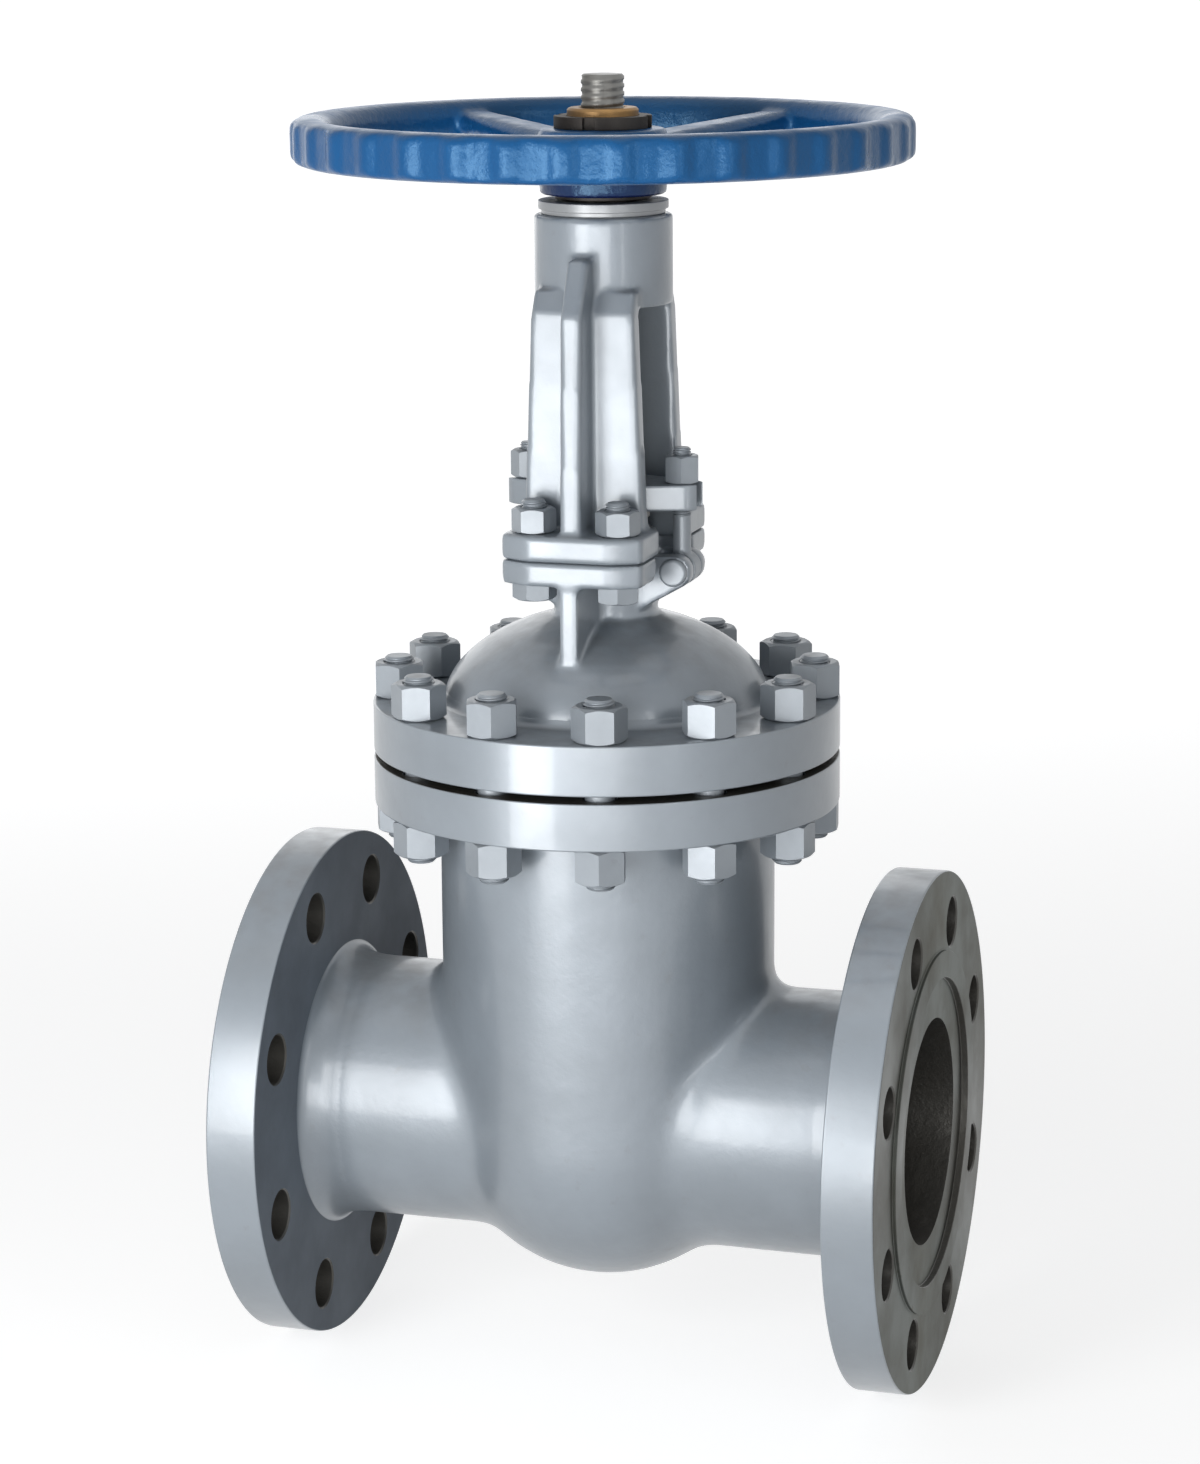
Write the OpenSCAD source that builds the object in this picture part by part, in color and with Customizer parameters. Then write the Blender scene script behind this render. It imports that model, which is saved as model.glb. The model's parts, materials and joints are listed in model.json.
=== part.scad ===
// Flanged wedge gate valve with a rising stem, a bolted bonnet, an outside yoke and a handwheel.
// The origin is at the centre of the inlet flange's face. The pipe runs along +X, the stem along +Z.

/* [Pipe ends] */
// Distance between the two flange faces
face_to_face = 450; // [430:1:500]
// Bore of the pipe
bore_d = 150; // [140:1:154]
// Wall of the pipe necks
neck_wall = 13; // [11:0.5:15]
// Length of the hub behind an end flange
hub_l = 24; // [16:1:28]
// Extra radius of that hub at the flange
hub_step = 9; // [5:0.5:10]
// Outer diameter of the end flanges
flange_d = 345; // [335:1:370]
// Thickness of an end flange without its raised face
flange_t = 34; // [28:1:40]
// Diameter of a bolt hole
bolt_hole_d = 33; // [26:1:34]
// Number of bolt holes in an end flange
bolt_count = 8; // [4:4:12]
// Distance from the bolt circle to the flange's rim
bolt_rim = 32.5; // [26:0.5:34]
// Distance from a bolt hole to the raised face
bolt_face_gap = 3.5; // [2:0.5:8]
// Height of the raised face
raised_face_h = 2.5; // [2:0.5:4]
// Width of the sealing face round the recess
seal_w = 18; // [14:0.5:20]
// Depth of the recess that takes the pipe flange's tongue
recess_h = 4.5; // [3:0.5:6]

/* [Body] */
// Room between the wedge and the inside of the barrel
wedge_room = 11; // [10:0.5:14]
// Wall of the barrel and of the round bottom
barrel_wall = 14; // [12:0.5:16]
// How far the bowl's centre lies under the pipe's axis
bowl_drop = 3; // [1:1:6]
// Radius of the cast fillet between a neck and the barrel
crease_r = 26; // [16:1:30]
// Height of the body flange's underside over the pipe's axis
body_flange_z = 214; // [206:1:230]
// Thickness of the body flange
body_flange_t = 31; // [26:1:36]
// Distance from the barrel's outside to the circle of studs
stud_row = 26; // [25:0.5:30]
// Distance from the circle of studs to the rim of the two flanges
stud_rim = 16.9; // [15:0.1:20]
// Number of studs
stud_count = 12; // [8:2:16]
// Diameter of a stud
stud_d = 20; // [16:1:22]
// Width of a stud's nut over its flats
stud_nut_w = 31; // [28:0.5:32]
// Height of a nut on the bonnet flange
stud_nut_h = 23; // [18:1:24]
// Height of a nut under the body flange
lower_nut_h = 23; // [16:1:24]
// How far a stud stands out of its nut
stud_end = 5; // [3:0.5:8]

/* [Bonnet] */
// Thickness of the bonnet gasket
gasket_t = 4.5; // [2:0.5:6]
// Thickness of the bonnet flange
bonnet_flange_t = 32.5; // [28:0.5:38]
// How far the foot of the dome lies inside the barrel's outside
dome_step = 4; // [2:0.5:8]
// Height of the dome over the bonnet flange
dome_h = 60; // [54:1:62]
// Wall of the dome
dome_wall = 14; // [12:0.5:16]
// Radius of the stuffing box
box_r = 34; // [32:0.5:38]
// How far the stuffing box stands over the yoke's seat
box_over = 10; // [6:0.5:12]
// Height of the yoke's seat over the bonnet flange
yoke_seat_h = 102; // [98:1:110]
// Thickness of the pads under the yoke's feet
pad_t = 15.5; // [12:0.5:20]
// Thickness of the rib under each pad
rib_t = 12; // [8:1:14]

/* [Gland] */
// Radial width of the packing
packing_w = 10; // [8:0.5:11]
// How deep the gland follower reaches into the stuffing box
follower_in = 12; // [8:0.5:16]
// Gap between the stuffing box and the gland flange
gland_lift = 15; // [12:0.5:20]
// Thickness of the gland flange
gland_t = 17; // [14:1:20]
// Radius of the gland flange's middle
gland_mid_r = 31; // [30:0.5:33]
// Radius of the gland flange's ends
gland_end_r = 14; // [13:0.5:16]
// Distance from the stuffing box to the axis of a swing eyebolt
eyebolt_gap = 18; // [16:0.5:21]
// Diameter of an eyebolt
eyebolt_d = 12; // [10:0.5:13]
// Radius of an eyebolt's eye
eye_r = 11; // [10:0.5:13]
// Diameter of an eyebolt's pin
pin_d = 11; // [8:0.5:12]

/* [Yoke] */
// Half width of a yoke arm over its foot
arm_half_w = 40; // [38:0.5:42]
// Half width of a yoke arm at its top
arm_top_half_w = 34; // [32:0.5:36]
// Gap between the stuffing box and an arm
arm_gap = 1; // [0.5:0.1:3]
// Thickness of an arm
arm_t = 15; // [12:0.5:18]
// Height of the window between the arms
window_h = 140; // [134:1:146]
// Thickness of a foot
foot_t = 17; // [14:1:20]
// Half width of a foot along the pipe
foot_half_w = 47; // [46:0.5:50]
// Distance from an arm to the bolts in its foot
foot_bolt_gap = 15; // [14.5:0.5:18]
// Distance from those bolts to the foot's outer edge
foot_rim = 23.5; // [20:0.5:26]
// Thickness of the rib down the outside of an arm
outer_rib_t = 14; // [10:0.5:16]
// Outer radius of the yoke's head
head_r = 44.7; // [43:0.1:47]
// Wall of the head round the bearings
head_wall = 9.7; // [8:0.1:12]
// Height of the head over the window
head_h = 58; // [56:1:64]

/* [Stem and wedge] */
// Diameter of the stem
stem_d = 28; // [26:1:28]
// Travel of the stem and wedge from shut to open
travel = 165; // [160:1:166]
// How far the stem stands over the stem nut when the valve is shut
stem_over = 21; // [14:1:30]
// Radial width of the seat rings
seat_ring_w = 12; // [10:0.5:13]
// How far the wedge's rim lies inside the rim of the seat rings
wedge_inset = 1; // [0.5:0.5:3]
// Half thickness of the wedge at the pipe's axis
wedge_half_t = 30; // [28:0.5:31]
// Angle of each wedge face from the upright
wedge_angle = 5; // [4:0.5:6]

/* [Handwheel] */
// Outer radius of the handwheel
wheel_r = 200; // [190:1:220]
// How far the rim stands over the hub's underside
rim_lift = 21; // [14:0.5:26]
// Height of the rim
rim_h = 29.5; // [26:0.5:32]
// Radial width of the rim
rim_w = 26; // [22:1:30]
// Number of finger grips round the rim
grip_count = 36; // [24:1:40]
// Number of spokes
spoke_count = 5; // [3:1:6]
// Width of a spoke at the hub
spoke_root_w = 36; // [30:1:40]
// Width of a spoke at the rim
spoke_tip_w = 24; // [18:1:26]
// Radius of the hub
hub_r = 41; // [38:0.5:44]
// Height of the hub
hub_h = 42; // [38:1:46]

/* [Hidden] */
$fn = 72;
paint = [0.68, 0.72, 0.76];
paint_dark = [0.50, 0.54, 0.58];
steel = [0.45, 0.45, 0.44];
brass = [0.60, 0.45, 0.22];
blue = [0.05, 0.22, 0.55];
graphite = [0.15, 0.15, 0.16];

// Clearances and small shared sizes
edge = 1.5;         // chamfer of a turned flange's rim
slip = 0.2;         // radial gap round a piece that sits in another
run = 0.3;          // gap at a turning or sliding face
play = 1;           // gap round a bolt in its hole
stem_gap = 4;       // gap between the stem and the openings it only passes
past = 1;           // how far a cut runs past a face, and how far pieces of one casting overlap

// Pipe
bore_r = bore_d / 2;
neck_r = bore_r + neck_wall;
end_x = face_to_face / 2;
hub_foot_r = neck_r + hub_step;
flange_back = end_x - raised_face_h - flange_t;
bolt_circle_r = flange_d / 2 - bolt_rim;
raised_face_r = bolt_circle_r - bolt_hole_d / 2 - bolt_face_gap;
recess_r = raised_face_r - seal_w;

// Seats and wedge
seat_r = bore_r + seat_ring_w;
seat_t = 12;
seat_proud = 5;
seat_boss_r = seat_r + 7;
wedge_r = seat_r - wedge_inset;
guide_w = 14;
guide_h = 8;
guide_gap = 1;

// Body
cavity_r = wedge_r + wedge_room;
barrel_r = cavity_r + barrel_wall;
body_top = body_flange_z + body_flange_t;
crease_bite = 6;
crease_sink = 0.8;

// Bonnet joint
stud_circle_r = barrel_r + stud_row;
joint_r = stud_circle_r + stud_rim;
stud_hole_r = stud_d / 2 + play;
gasket_in = 4;
gasket_r = stud_circle_r - stud_hole_r - gasket_in;
bonnet_z = body_top + gasket_t;
bonnet_top = bonnet_z + bonnet_flange_t;

// Dome
dome_round = 1.85;
dome_r = barrel_r - dome_step;
dome_in_r = dome_r - dome_wall;
dome_in_h = dome_h - dome_wall;

// Stuffing box
yoke_z = bonnet_top + yoke_seat_h;
box_top = yoke_z + box_over;
stem_r = stem_d / 2;
box_in_r = stem_r + packing_w;
bush_r = box_in_r - 2 * play;
bush_h = 14;
bush_sink = 5;
bush_z = bonnet_top + dome_in_h - bush_sink;
box_floor = 14;
packing_z = bush_z + bush_h + box_floor;
packing_h = box_top - packing_z - follower_in;
gland_z = box_top + gland_lift;
collar_h = 7;
collar_r = gland_mid_r - 2 * play;

// Eyebolts and their lugs
eyebolt_x = box_r + eyebolt_gap;
eye_drop = 14;
eye_z = yoke_z - eye_drop;
eye_half_w = 7.5;
ear_in = eye_half_w + run;
ear_t = 12;
ear_root_r = 18;
ear_root_in = 12;
ear_root_drop = 9;
eye_nut_w = 21;
eye_nut_h = 18;
eye_end = 5;
pin_head_r = 9;
pin_head_h = 5;

// Yoke
foot_in = box_r + arm_gap;
arm_y = foot_in + arm_t;
foot_top = yoke_z + foot_t;
window_top = foot_top + window_h;
head_top = window_top + head_h;
foot_corner = 13;
foot_bulge = 4;
pad_in = 8;
pad_neck_w = 44;
yoke_bolt_x = 28;
yoke_bolt_y = arm_y + foot_bolt_gap;
foot_y = yoke_bolt_y + foot_rim;
yoke_bolt_d = 16;
yoke_nut_w = 25;
yoke_nut_h = 16;
yoke_head_h = 11;
yoke_bolt_end = 5;
rib_inset = 5;
outer_rib_in = 9.5;
outer_rib_y = foot_y - outer_rib_in;
outer_rib_drop = 25;
outer_rib_lean = 5;
outer_rib_out = 13;
window_corner = 6;
shoulder_drop = 2;
shoulder_h = 14;
shoulder_in = 2;
bridge_t = 12;

// Stem nut and its bearings
housing_r = head_r - head_wall;
housing_z = window_top + bridge_t;
bearing_h = 12;
nut_wall = 9;
nut_r = stem_r + nut_wall;
nut_flange_r = housing_r - 2 * play;
nut_flange_z = housing_z + bearing_h + run;
nut_flange_h = 13.4;
bearing_top = nut_flange_z + nut_flange_h + run + bearing_h;
groove_h = 3;
groove_in = 2;
cap_z = head_top + groove_h;
cap_h = 5.5;
cap_in = 2.7;
cap_r = head_r - cap_in;
wheel_gap = 3.5;
wheel_z = cap_z + cap_h + wheel_gap;
nut_shoulder_wall = 8;
nut_shoulder_r = nut_r + nut_shoulder_wall;
lock_h = 8;
lock_wall = 8.5;
lock_r = nut_r + lock_wall;
lock_slot_w = 8;
lock_slot_h = 3;
nut_over = 5;
nut_top = wheel_z + hub_h + lock_h + nut_over;
stem_top = nut_top + stem_over;
stem_tip_h = 4;
stem_tip_in = 3;
key_w = 8;
key_depth = 4;
key_inset = 2;

// Wedge head, with the slot that holds the stem's tee
wedge_head_x = wedge_half_t - 2 * play;
wedge_head_y = 29;
wedge_head_corner = 8;
wedge_head_root = 26;
tee_z = wedge_r - 2 * play;
tee_h = 14.7;
tee_half_x = 20;
tee_half_y = 22;
slot_gap = 0.4;
slot_roof = 13;
wedge_head_top = tee_z + tee_h + slot_roof;

// Collar on the stem that closes against the bush when the valve is open
stem_collar_h = 14;
stem_collar_step = 4;
stem_collar_cone = 6;
collar_top = bush_z - travel - 2 * play;

// Handwheel
rim_z = wheel_z + rim_lift;
rim_corner = 11;
grip_h = 3;
grip_r = 15;
grip_rise = 2;
spoke_root_h = 20;
spoke_tip_h = 15;
spoke_root_corner = 8;
spoke_tip_corner = 6;
spoke_bite = 8;
spoke_rise = 4;
spoke_turn = 65;

// ---------- helpers ----------

module at_stem() { translate([end_x, 0, 0]) children(); }

module turned_to_x() { rotate([0, 90, 0]) children(); }

module both_ends() { children(); mirror([1, 0, 0]) children(); }

module both_sides() { children(); mirror([0, 1, 0]) children(); }

module around(count, radius, start = 0)
    for (i = [0:count - 1]) rotate([0, 0, start + i * 360 / count]) translate([radius, 0, 0]) children();

module hex(width, height) { cylinder(r = width / sqrt(3), h = height, $fn = 6); }

module ring(outer, inner, height)
    difference() {
        cylinder(r = outer, h = height);
        translate([0, 0, -past]) cylinder(r = inner, h = height + 2 * past);
    }

// A flat link: two discs and the plate between their tangents
module link(p, rp, q, rq) {
    d = norm(q - p);
    along = atan2(q[1] - p[1], q[0] - p[0]);
    lean = acos((rp - rq) / d);
    translate(p) circle(r = rp);
    translate(q) circle(r = rq);
    polygon([p + rp * [cos(along + lean), sin(along + lean)], p + rp * [cos(along - lean), sin(along - lean)],
             q + rq * [cos(along - lean), sin(along - lean)], q + rq * [cos(along + lean), sin(along + lean)]]);
}

module rounded_box(w, h, r) {
    square([w - 2 * r, h], center = true);
    square([w, h - 2 * r], center = true);
    for (x = [-1, 1], y = [-1, 1]) translate([x * (w / 2 - r), y * (h / 2 - r)]) circle(r = r);
}

// Upright outlines: drawn in X and Z, or in Y and Z, and given a thickness
module xz_plate(t) { rotate([90, 0, 0]) linear_extrude(height = t, center = true) children(); }

module yz_plate(t) { rotate([90, 0, 90]) linear_extrude(height = t, center = true) children(); }

function arc(radius_x, radius_y, from, to, steps) =
    [for (i = [0:steps]) let (a = from + (to - from) * i / steps) [radius_x * cos(a), radius_y * sin(a)]];

// Half of a dome's outline, a little squarer at the shoulder than an ellipse where round is over 2
function dome_curve(radius, height, steps) =
    [for (i = [0:steps]) let (a = 90 * i / steps)
     [radius * pow(cos(a), 2 / dome_round), height * pow(sin(a), 2 / dome_round)]];

// ---------- body ----------

// Half length of the barrel and bowl along X at a point of the pipe's cross-section
function skin_x(y, z) =
    let (drop = min(z + bowl_drop, 0))
    sqrt(max(barrel_r * barrel_r - y * y - drop * drop, 1));

function bezier(a, b, c, t) = (1 - t) * (1 - t) * a + 2 * t * (1 - t) * b + t * t * c;

// One section of the fillet, in X and distance from the pipe's axis, at an angle round the pipe
function crease_section(angle, steps) =
    let (cy = cos(angle), cz = sin(angle),
         x0 = skin_x(neck_r * cy, neck_r * cz),
         x1 = skin_x((neck_r + hub_step) * cy, (neck_r + hub_step) * cz),
         lean = atan2(hub_step, x0 - x1),
         reach = crease_r * tan(lean / 2),
         side = reach * sin(lean),
         a = [x0 + reach, neck_r - crease_sink],
         b = [x0, neck_r],
         c = [skin_x((neck_r + side) * cy, (neck_r + side) * cz) - crease_sink, neck_r + side])
    concat([[x0 + reach, neck_r - crease_bite]], [for (i = [0:steps]) bezier(a, b, c, i / steps)],
           [[c[0] - crease_bite, c[1]], [x0 - crease_bite, neck_r - crease_bite]]);

// The fillet runs all round a neck
module crease(rounds = 40, steps = 5) {
    sections = [for (i = [0:rounds - 1]) crease_section(i * 360 / rounds, steps)];
    n = len(sections[0]);
    points = [for (i = [0:rounds - 1], p = sections[i])
              [p[0], p[1] * cos(i * 360 / rounds), p[1] * sin(i * 360 / rounds)]];
    faces = [for (i = [0:rounds - 1], j = [0:n - 1])
             let (i2 = (i + 1) % rounds, j2 = (j + 1) % n)
             each [[i * n + j, i * n + j2, i2 * n + j2], [i * n + j, i2 * n + j2, i2 * n + j]]];
    polyhedron(points, faces);
}

// Neck, hub and flange of one end, turned about the pipe's axis
module end_outside() {
    rim = flange_d / 2;
    front = flange_back + flange_t;
    hub = [for (p = arc(hub_step, hub_l, 180, 90, 6)) [hub_foot_r + p[0], flange_back - hub_l + p[1]]];
    turned_to_x() rotate_extrude()
        polygon(concat([[0, 0], [neck_r, 0]], hub,
                [[rim - edge, flange_back], [rim, flange_back + edge], [rim, front - edge], [rim - edge, front],
                 [raised_face_r, front], [raised_face_r, end_x], [0, end_x]]));
}

module end_holes() {
    turned_to_x() {
        translate([0, 0, end_x - recess_h]) cylinder(r = recess_r, h = recess_h + past);
        around(bolt_count, bolt_circle_r, 180 / bolt_count)
            translate([0, 0, flange_back - past]) cylinder(r = bolt_hole_d / 2, h = flange_t + 2 * past);
    }
}

module stud_holes(z, h)
    translate([0, 0, z - past]) around(stud_count, stud_circle_r, 180 / stud_count)
        cylinder(r = stud_hole_r, h = h + 2 * past);

// An upright test tube: a barrel that ends in half a sphere
module tube(r, top) {
    translate([0, 0, -bowl_drop]) {
        sphere(r = r);
        cylinder(r = r, h = top + bowl_drop);
    }
}

module body_casting() {
    color(paint) at_stem() difference() {
        union() {
            difference() {
                union() {
                    tube(barrel_r, body_flange_z + past);
                    translate([0, 0, body_flange_z]) cylinder(r = joint_r, h = body_flange_t);
                    both_ends() {
                        end_outside();
                        crease();
                    }
                }
                tube(cavity_r, body_top + past);
            }
            both_ends() seat_boss();
            both_sides() wedge_guide();
        }
        turned_to_x() translate([0, 0, -end_x - past]) cylinder(r = bore_r, h = face_to_face + 2 * past);
        both_ends() {
            seat_ring_blank();
            end_holes();
        }
        stud_holes(body_flange_z, body_flange_t);
    }
}

// The boss inside the bowl that carries a seat ring, cut off parallel to the wedge face
module seat_boss() {
    difference() {
        intersection() {
            turned_to_x() cylinder(r = seat_boss_r, h = cavity_r + seat_proud);
            translate([0, 0, -bowl_drop]) sphere(r = cavity_r + barrel_wall / 3);
        }
        wedge_side(seat_t - seat_proud);
    }
}

// Everything on the stem's side of a plane parallel to the wedge face, at a distance from it
module wedge_side(distance) {
    size = 2 * barrel_r;
    rotate([0, wedge_angle, 0]) translate([wedge_face_x() + distance - size, -size / 2, -size / 2]) cube(size);
}

function wedge_face_x() = (wedge_half_t + run) * cos(wedge_angle);

module seat_ring_blank()
    rotate([0, wedge_angle, 0]) translate([wedge_face_x(), 0, 0]) turned_to_x()
        cylinder(r = seat_r, h = seat_t);

module seat_ring() {
    difference() {
        seat_ring_blank();
        turned_to_x() cylinder(r = bore_r, h = end_x);
    }
}

module seat_ring_outlet() { color(steel) at_stem() seat_ring(); }

module seat_ring_inlet() { color(steel) at_stem() mirror([1, 0, 0]) seat_ring(); }

// An upright rib inside the barrel that the wedge slides along
module wedge_guide()
    intersection() {
        translate([-guide_w / 2, cavity_r - guide_h, 0])
            cube([guide_w, guide_h + barrel_wall / 2, body_flange_z]);
        translate([0, 0, -past]) cylinder(r = cavity_r + barrel_wall / 4, h = body_top);
    }

// ---------- wedge and stem ----------

module wedge() {
    lean = tan(wedge_angle);
    reach = wedge_r + past;
    head_foot = wedge_r - wedge_head_root;
    color(steel) at_stem() difference() {
        union() {
            intersection() {
                turned_to_x() cylinder(r = wedge_r, h = bore_d, center = true);
                xz_plate(2 * reach) polygon([for (s = [[1, 1], [-1, 1], [-1, -1], [1, -1]])
                    [s[0] * (wedge_half_t + s[1] * reach * lean), s[1] * reach]]);
            }
            translate([0, 0, head_foot]) linear_extrude(height = wedge_head_top - head_foot)
                rounded_box(2 * wedge_head_x, 2 * wedge_head_y, wedge_head_corner);
        }
        both_sides() translate([-guide_w / 2 - guide_gap, cavity_r - guide_h - guide_gap, -reach])
            cube([guide_w + 2 * guide_gap, barrel_wall + guide_h, 2 * reach]);
        translate([-bore_r, -tee_half_y - slot_gap, tee_z])
            cube([bore_d, 2 * (tee_half_y + slot_gap), tee_h + slot_gap]);
        translate([-bore_r, -stem_r - slot_gap, tee_z])
            cube([bore_d, 2 * (stem_r + slot_gap), tee_h + slot_roof + past]);
    }
}

module stem() {
    shank_z = tee_z + tee_h;
    cone_z = collar_top - stem_collar_cone;
    color(steel) at_stem() {
        translate([-tee_half_x, -tee_half_y, tee_z]) cube([2 * tee_half_x, 2 * tee_half_y, tee_h]);
        translate([0, 0, shank_z]) cylinder(r = stem_r, h = stem_top - shank_z - stem_tip_h);
        translate([0, 0, stem_top - stem_tip_h])
            cylinder(r1 = stem_r, r2 = stem_r - stem_tip_in, h = stem_tip_h);
        translate([0, 0, cone_z - stem_collar_h]) cylinder(r = stem_r + stem_collar_step, h = stem_collar_h);
        translate([0, 0, cone_z]) cylinder(r1 = stem_r + stem_collar_step, r2 = stem_r, h = stem_collar_cone);
    }
}

// ---------- bonnet ----------

module bonnet_gasket() {
    color(graphite) at_stem() translate([0, 0, body_top]) ring(gasket_r, cavity_r, gasket_t);
}

module bonnet() {
    color(paint) at_stem() difference() {
        union() {
            translate([0, 0, bonnet_z]) cylinder(r = joint_r, h = bonnet_flange_t);
            translate([0, 0, bonnet_top]) rotate_extrude()
                polygon(concat([[0, -bonnet_flange_t / 2], [dome_r, -bonnet_flange_t / 2]],
                               dome_curve(dome_r, dome_h, 16)));
            translate([0, 0, bonnet_top]) cylinder(r = box_r, h = box_top - bonnet_top);
            both_sides() pad();
            both_ends() lug();
        }
        translate([0, 0, bonnet_top]) rotate_extrude()
            polygon(concat([[0, -bonnet_flange_t - past], [dome_in_r, -bonnet_flange_t - past]],
                           dome_curve(dome_in_r, dome_in_h, 16)));
        translate([0, 0, bush_z - dome_wall]) cylinder(r = bush_r, h = bush_h + dome_wall);
        translate([0, 0, bush_z]) cylinder(r = stem_r + play, h = box_top);
        translate([0, 0, packing_z]) cylinder(r = box_in_r, h = box_top);
        stud_holes(bonnet_z, bonnet_flange_t);
        both_sides() yoke_bolt_holes(yoke_z - pad_t, pad_t);
        both_ends() translate([eyebolt_x, 0, eye_z]) xz_plate(bore_d) circle(r = pin_d / 2 + slip);
    }
}

// Outline of a yoke foot and of the pad under it: an arc outside, round corners, straight inside
module foot_outline(inside) {
    intersection() {
        circle(r = foot_y);
        translate([-foot_half_w, -foot_y]) square([2 * foot_half_w, foot_y - inside]);
        rounded_box(2 * foot_half_w, 2 * (foot_y - foot_bulge), foot_corner);
    }
}

module yoke_bolt_holes(z, h)
    for (x = [-1, 1]) translate([x * yoke_bolt_x, -yoke_bolt_y, z - past])
        cylinder(r = yoke_bolt_d / 2 + play / 2, h = h + 2 * past);

// The pad that carries one foot of the yoke, its bridge to the stuffing box and its rib on the dome
module pad() {
    inner_y = foot_in + pad_in;
    rib_foot = bonnet_top + dome_h - outer_rib_drop;
    rib_in = box_r - rib_inset;
    translate([0, 0, yoke_z - pad_t]) linear_extrude(height = pad_t) {
        foot_outline(inner_y);
        translate([-pad_neck_w / 2, -inner_y - past]) square([pad_neck_w, inner_y + past - box_r / 2]);
    }
    yz_plate(rib_t) polygon([[-rib_in, rib_foot], [rib_inset - foot_y, rib_foot],
                             [rib_inset - foot_y, yoke_z - pad_t + past], [-rib_in, yoke_z - pad_t + past]]);
}

// Two ears on the stuffing box, with the eyebolt's pin through them
module lug() {
    both_sides() translate([0, ear_in + ear_t / 2, 0]) xz_plate(ear_t)
        link([box_r - ear_root_in, eye_z - ear_root_drop], ear_root_r, [eyebolt_x, eye_z], eye_r);
}

module bonnet_studs() {
    low = body_flange_z - lower_nut_h - stud_end;
    high = bonnet_top + stud_nut_h + stud_end;
    color(paint_dark) at_stem() around(stud_count, stud_circle_r, 180 / stud_count)
        translate([0, 0, low]) cylinder(r = stud_d / 2, h = high - low);
}

// A hexagon nut, bored with a small gap round its bolt
module nut(width, height, bolt_d) {
    difference() {
        hex(width, height);
        translate([0, 0, -past]) cylinder(r = bolt_d / 2 + slip, h = height + 2 * past);
    }
}

// Each nut stands with a flat outward
module stud_nuts(z, h)
    around(stud_count, stud_circle_r, 180 / stud_count)
        translate([0, 0, z]) rotate([0, 0, 30]) nut(stud_nut_w, h, stud_d);

module bonnet_nuts_upper() { color(paint_dark) at_stem() stud_nuts(bonnet_top, stud_nut_h); }

module bonnet_nuts_lower() { color(paint_dark) at_stem() stud_nuts(body_flange_z - lower_nut_h, lower_nut_h); }

// ---------- stuffing box ----------

module back_seat_bush() {
    color(brass) at_stem() translate([0, 0, bush_z]) ring(bush_r - slip, stem_r + run, bush_h);
}

module packing() {
    color(graphite) at_stem() translate([0, 0, packing_z]) ring(box_in_r - slip, stem_r + run, packing_h);
}

module gland_follower() {
    low = packing_z + packing_h;
    color(steel) at_stem() {
        translate([0, 0, low]) ring(box_in_r - 2 * slip, stem_r + run, gland_z - low);
        translate([0, 0, gland_z - collar_h]) ring(collar_r, stem_r + run, collar_h);
    }
}

module gland_flange() {
    color(paint) at_stem() translate([0, 0, gland_z]) difference() {
        linear_extrude(height = gland_t) for (s = [-1, 1])
            link([0, 0], gland_mid_r, [s * eyebolt_x, 0], gland_end_r);
        translate([0, 0, -past]) cylinder(r = stem_r + stem_gap, h = gland_t + 2 * past);
        both_ends() translate([0, 0, -past]) {
            translate([eyebolt_x, 0, 0]) cylinder(r = eyebolt_d / 2 + play, h = gland_t + 2 * past);
            translate([eyebolt_x, -eyebolt_d / 2 - play, 0])
                cube([2 * gland_end_r, eyebolt_d + 2 * play, gland_t + 2 * past]);
        }
    }
}

module eyebolt() {
    translate([eyebolt_x, 0, 0]) difference() {
        union() {
            translate([0, 0, eye_z]) xz_plate(2 * eye_half_w) circle(r = eye_r);
            translate([0, 0, eye_z])
                cylinder(r = eyebolt_d / 2, h = gland_z + gland_t + eye_nut_h + eye_end - eye_z);
        }
        translate([0, 0, eye_z]) xz_plate(2 * eye_half_w + 2 * past) circle(r = pin_d / 2 + slip);
    }
}

module eyebolt_outlet() { color(paint_dark) at_stem() eyebolt(); }

module eyebolt_inlet() { color(paint_dark) at_stem() mirror([1, 0, 0]) eyebolt(); }

module eyebolt_nut()
    translate([eyebolt_x, 0, gland_z + gland_t]) nut(eye_nut_w, eye_nut_h, eyebolt_d);

module eyebolt_nut_outlet() { color(paint_dark) at_stem() eyebolt_nut(); }

module eyebolt_nut_inlet() { color(paint_dark) at_stem() mirror([1, 0, 0]) eyebolt_nut(); }

module eyebolt_pin() {
    far = ear_in + ear_t;
    translate([eyebolt_x, 0, eye_z]) {
        xz_plate(2 * far) circle(r = pin_d / 2);
        both_sides() translate([0, far + pin_head_h / 2, 0]) xz_plate(pin_head_h) circle(r = pin_head_r);
    }
}

module eyebolt_pin_outlet() { color(paint_dark) at_stem() eyebolt_pin(); }

module eyebolt_pin_inlet() { color(paint_dark) at_stem() mirror([1, 0, 0]) eyebolt_pin(); }

// ---------- yoke ----------

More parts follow.
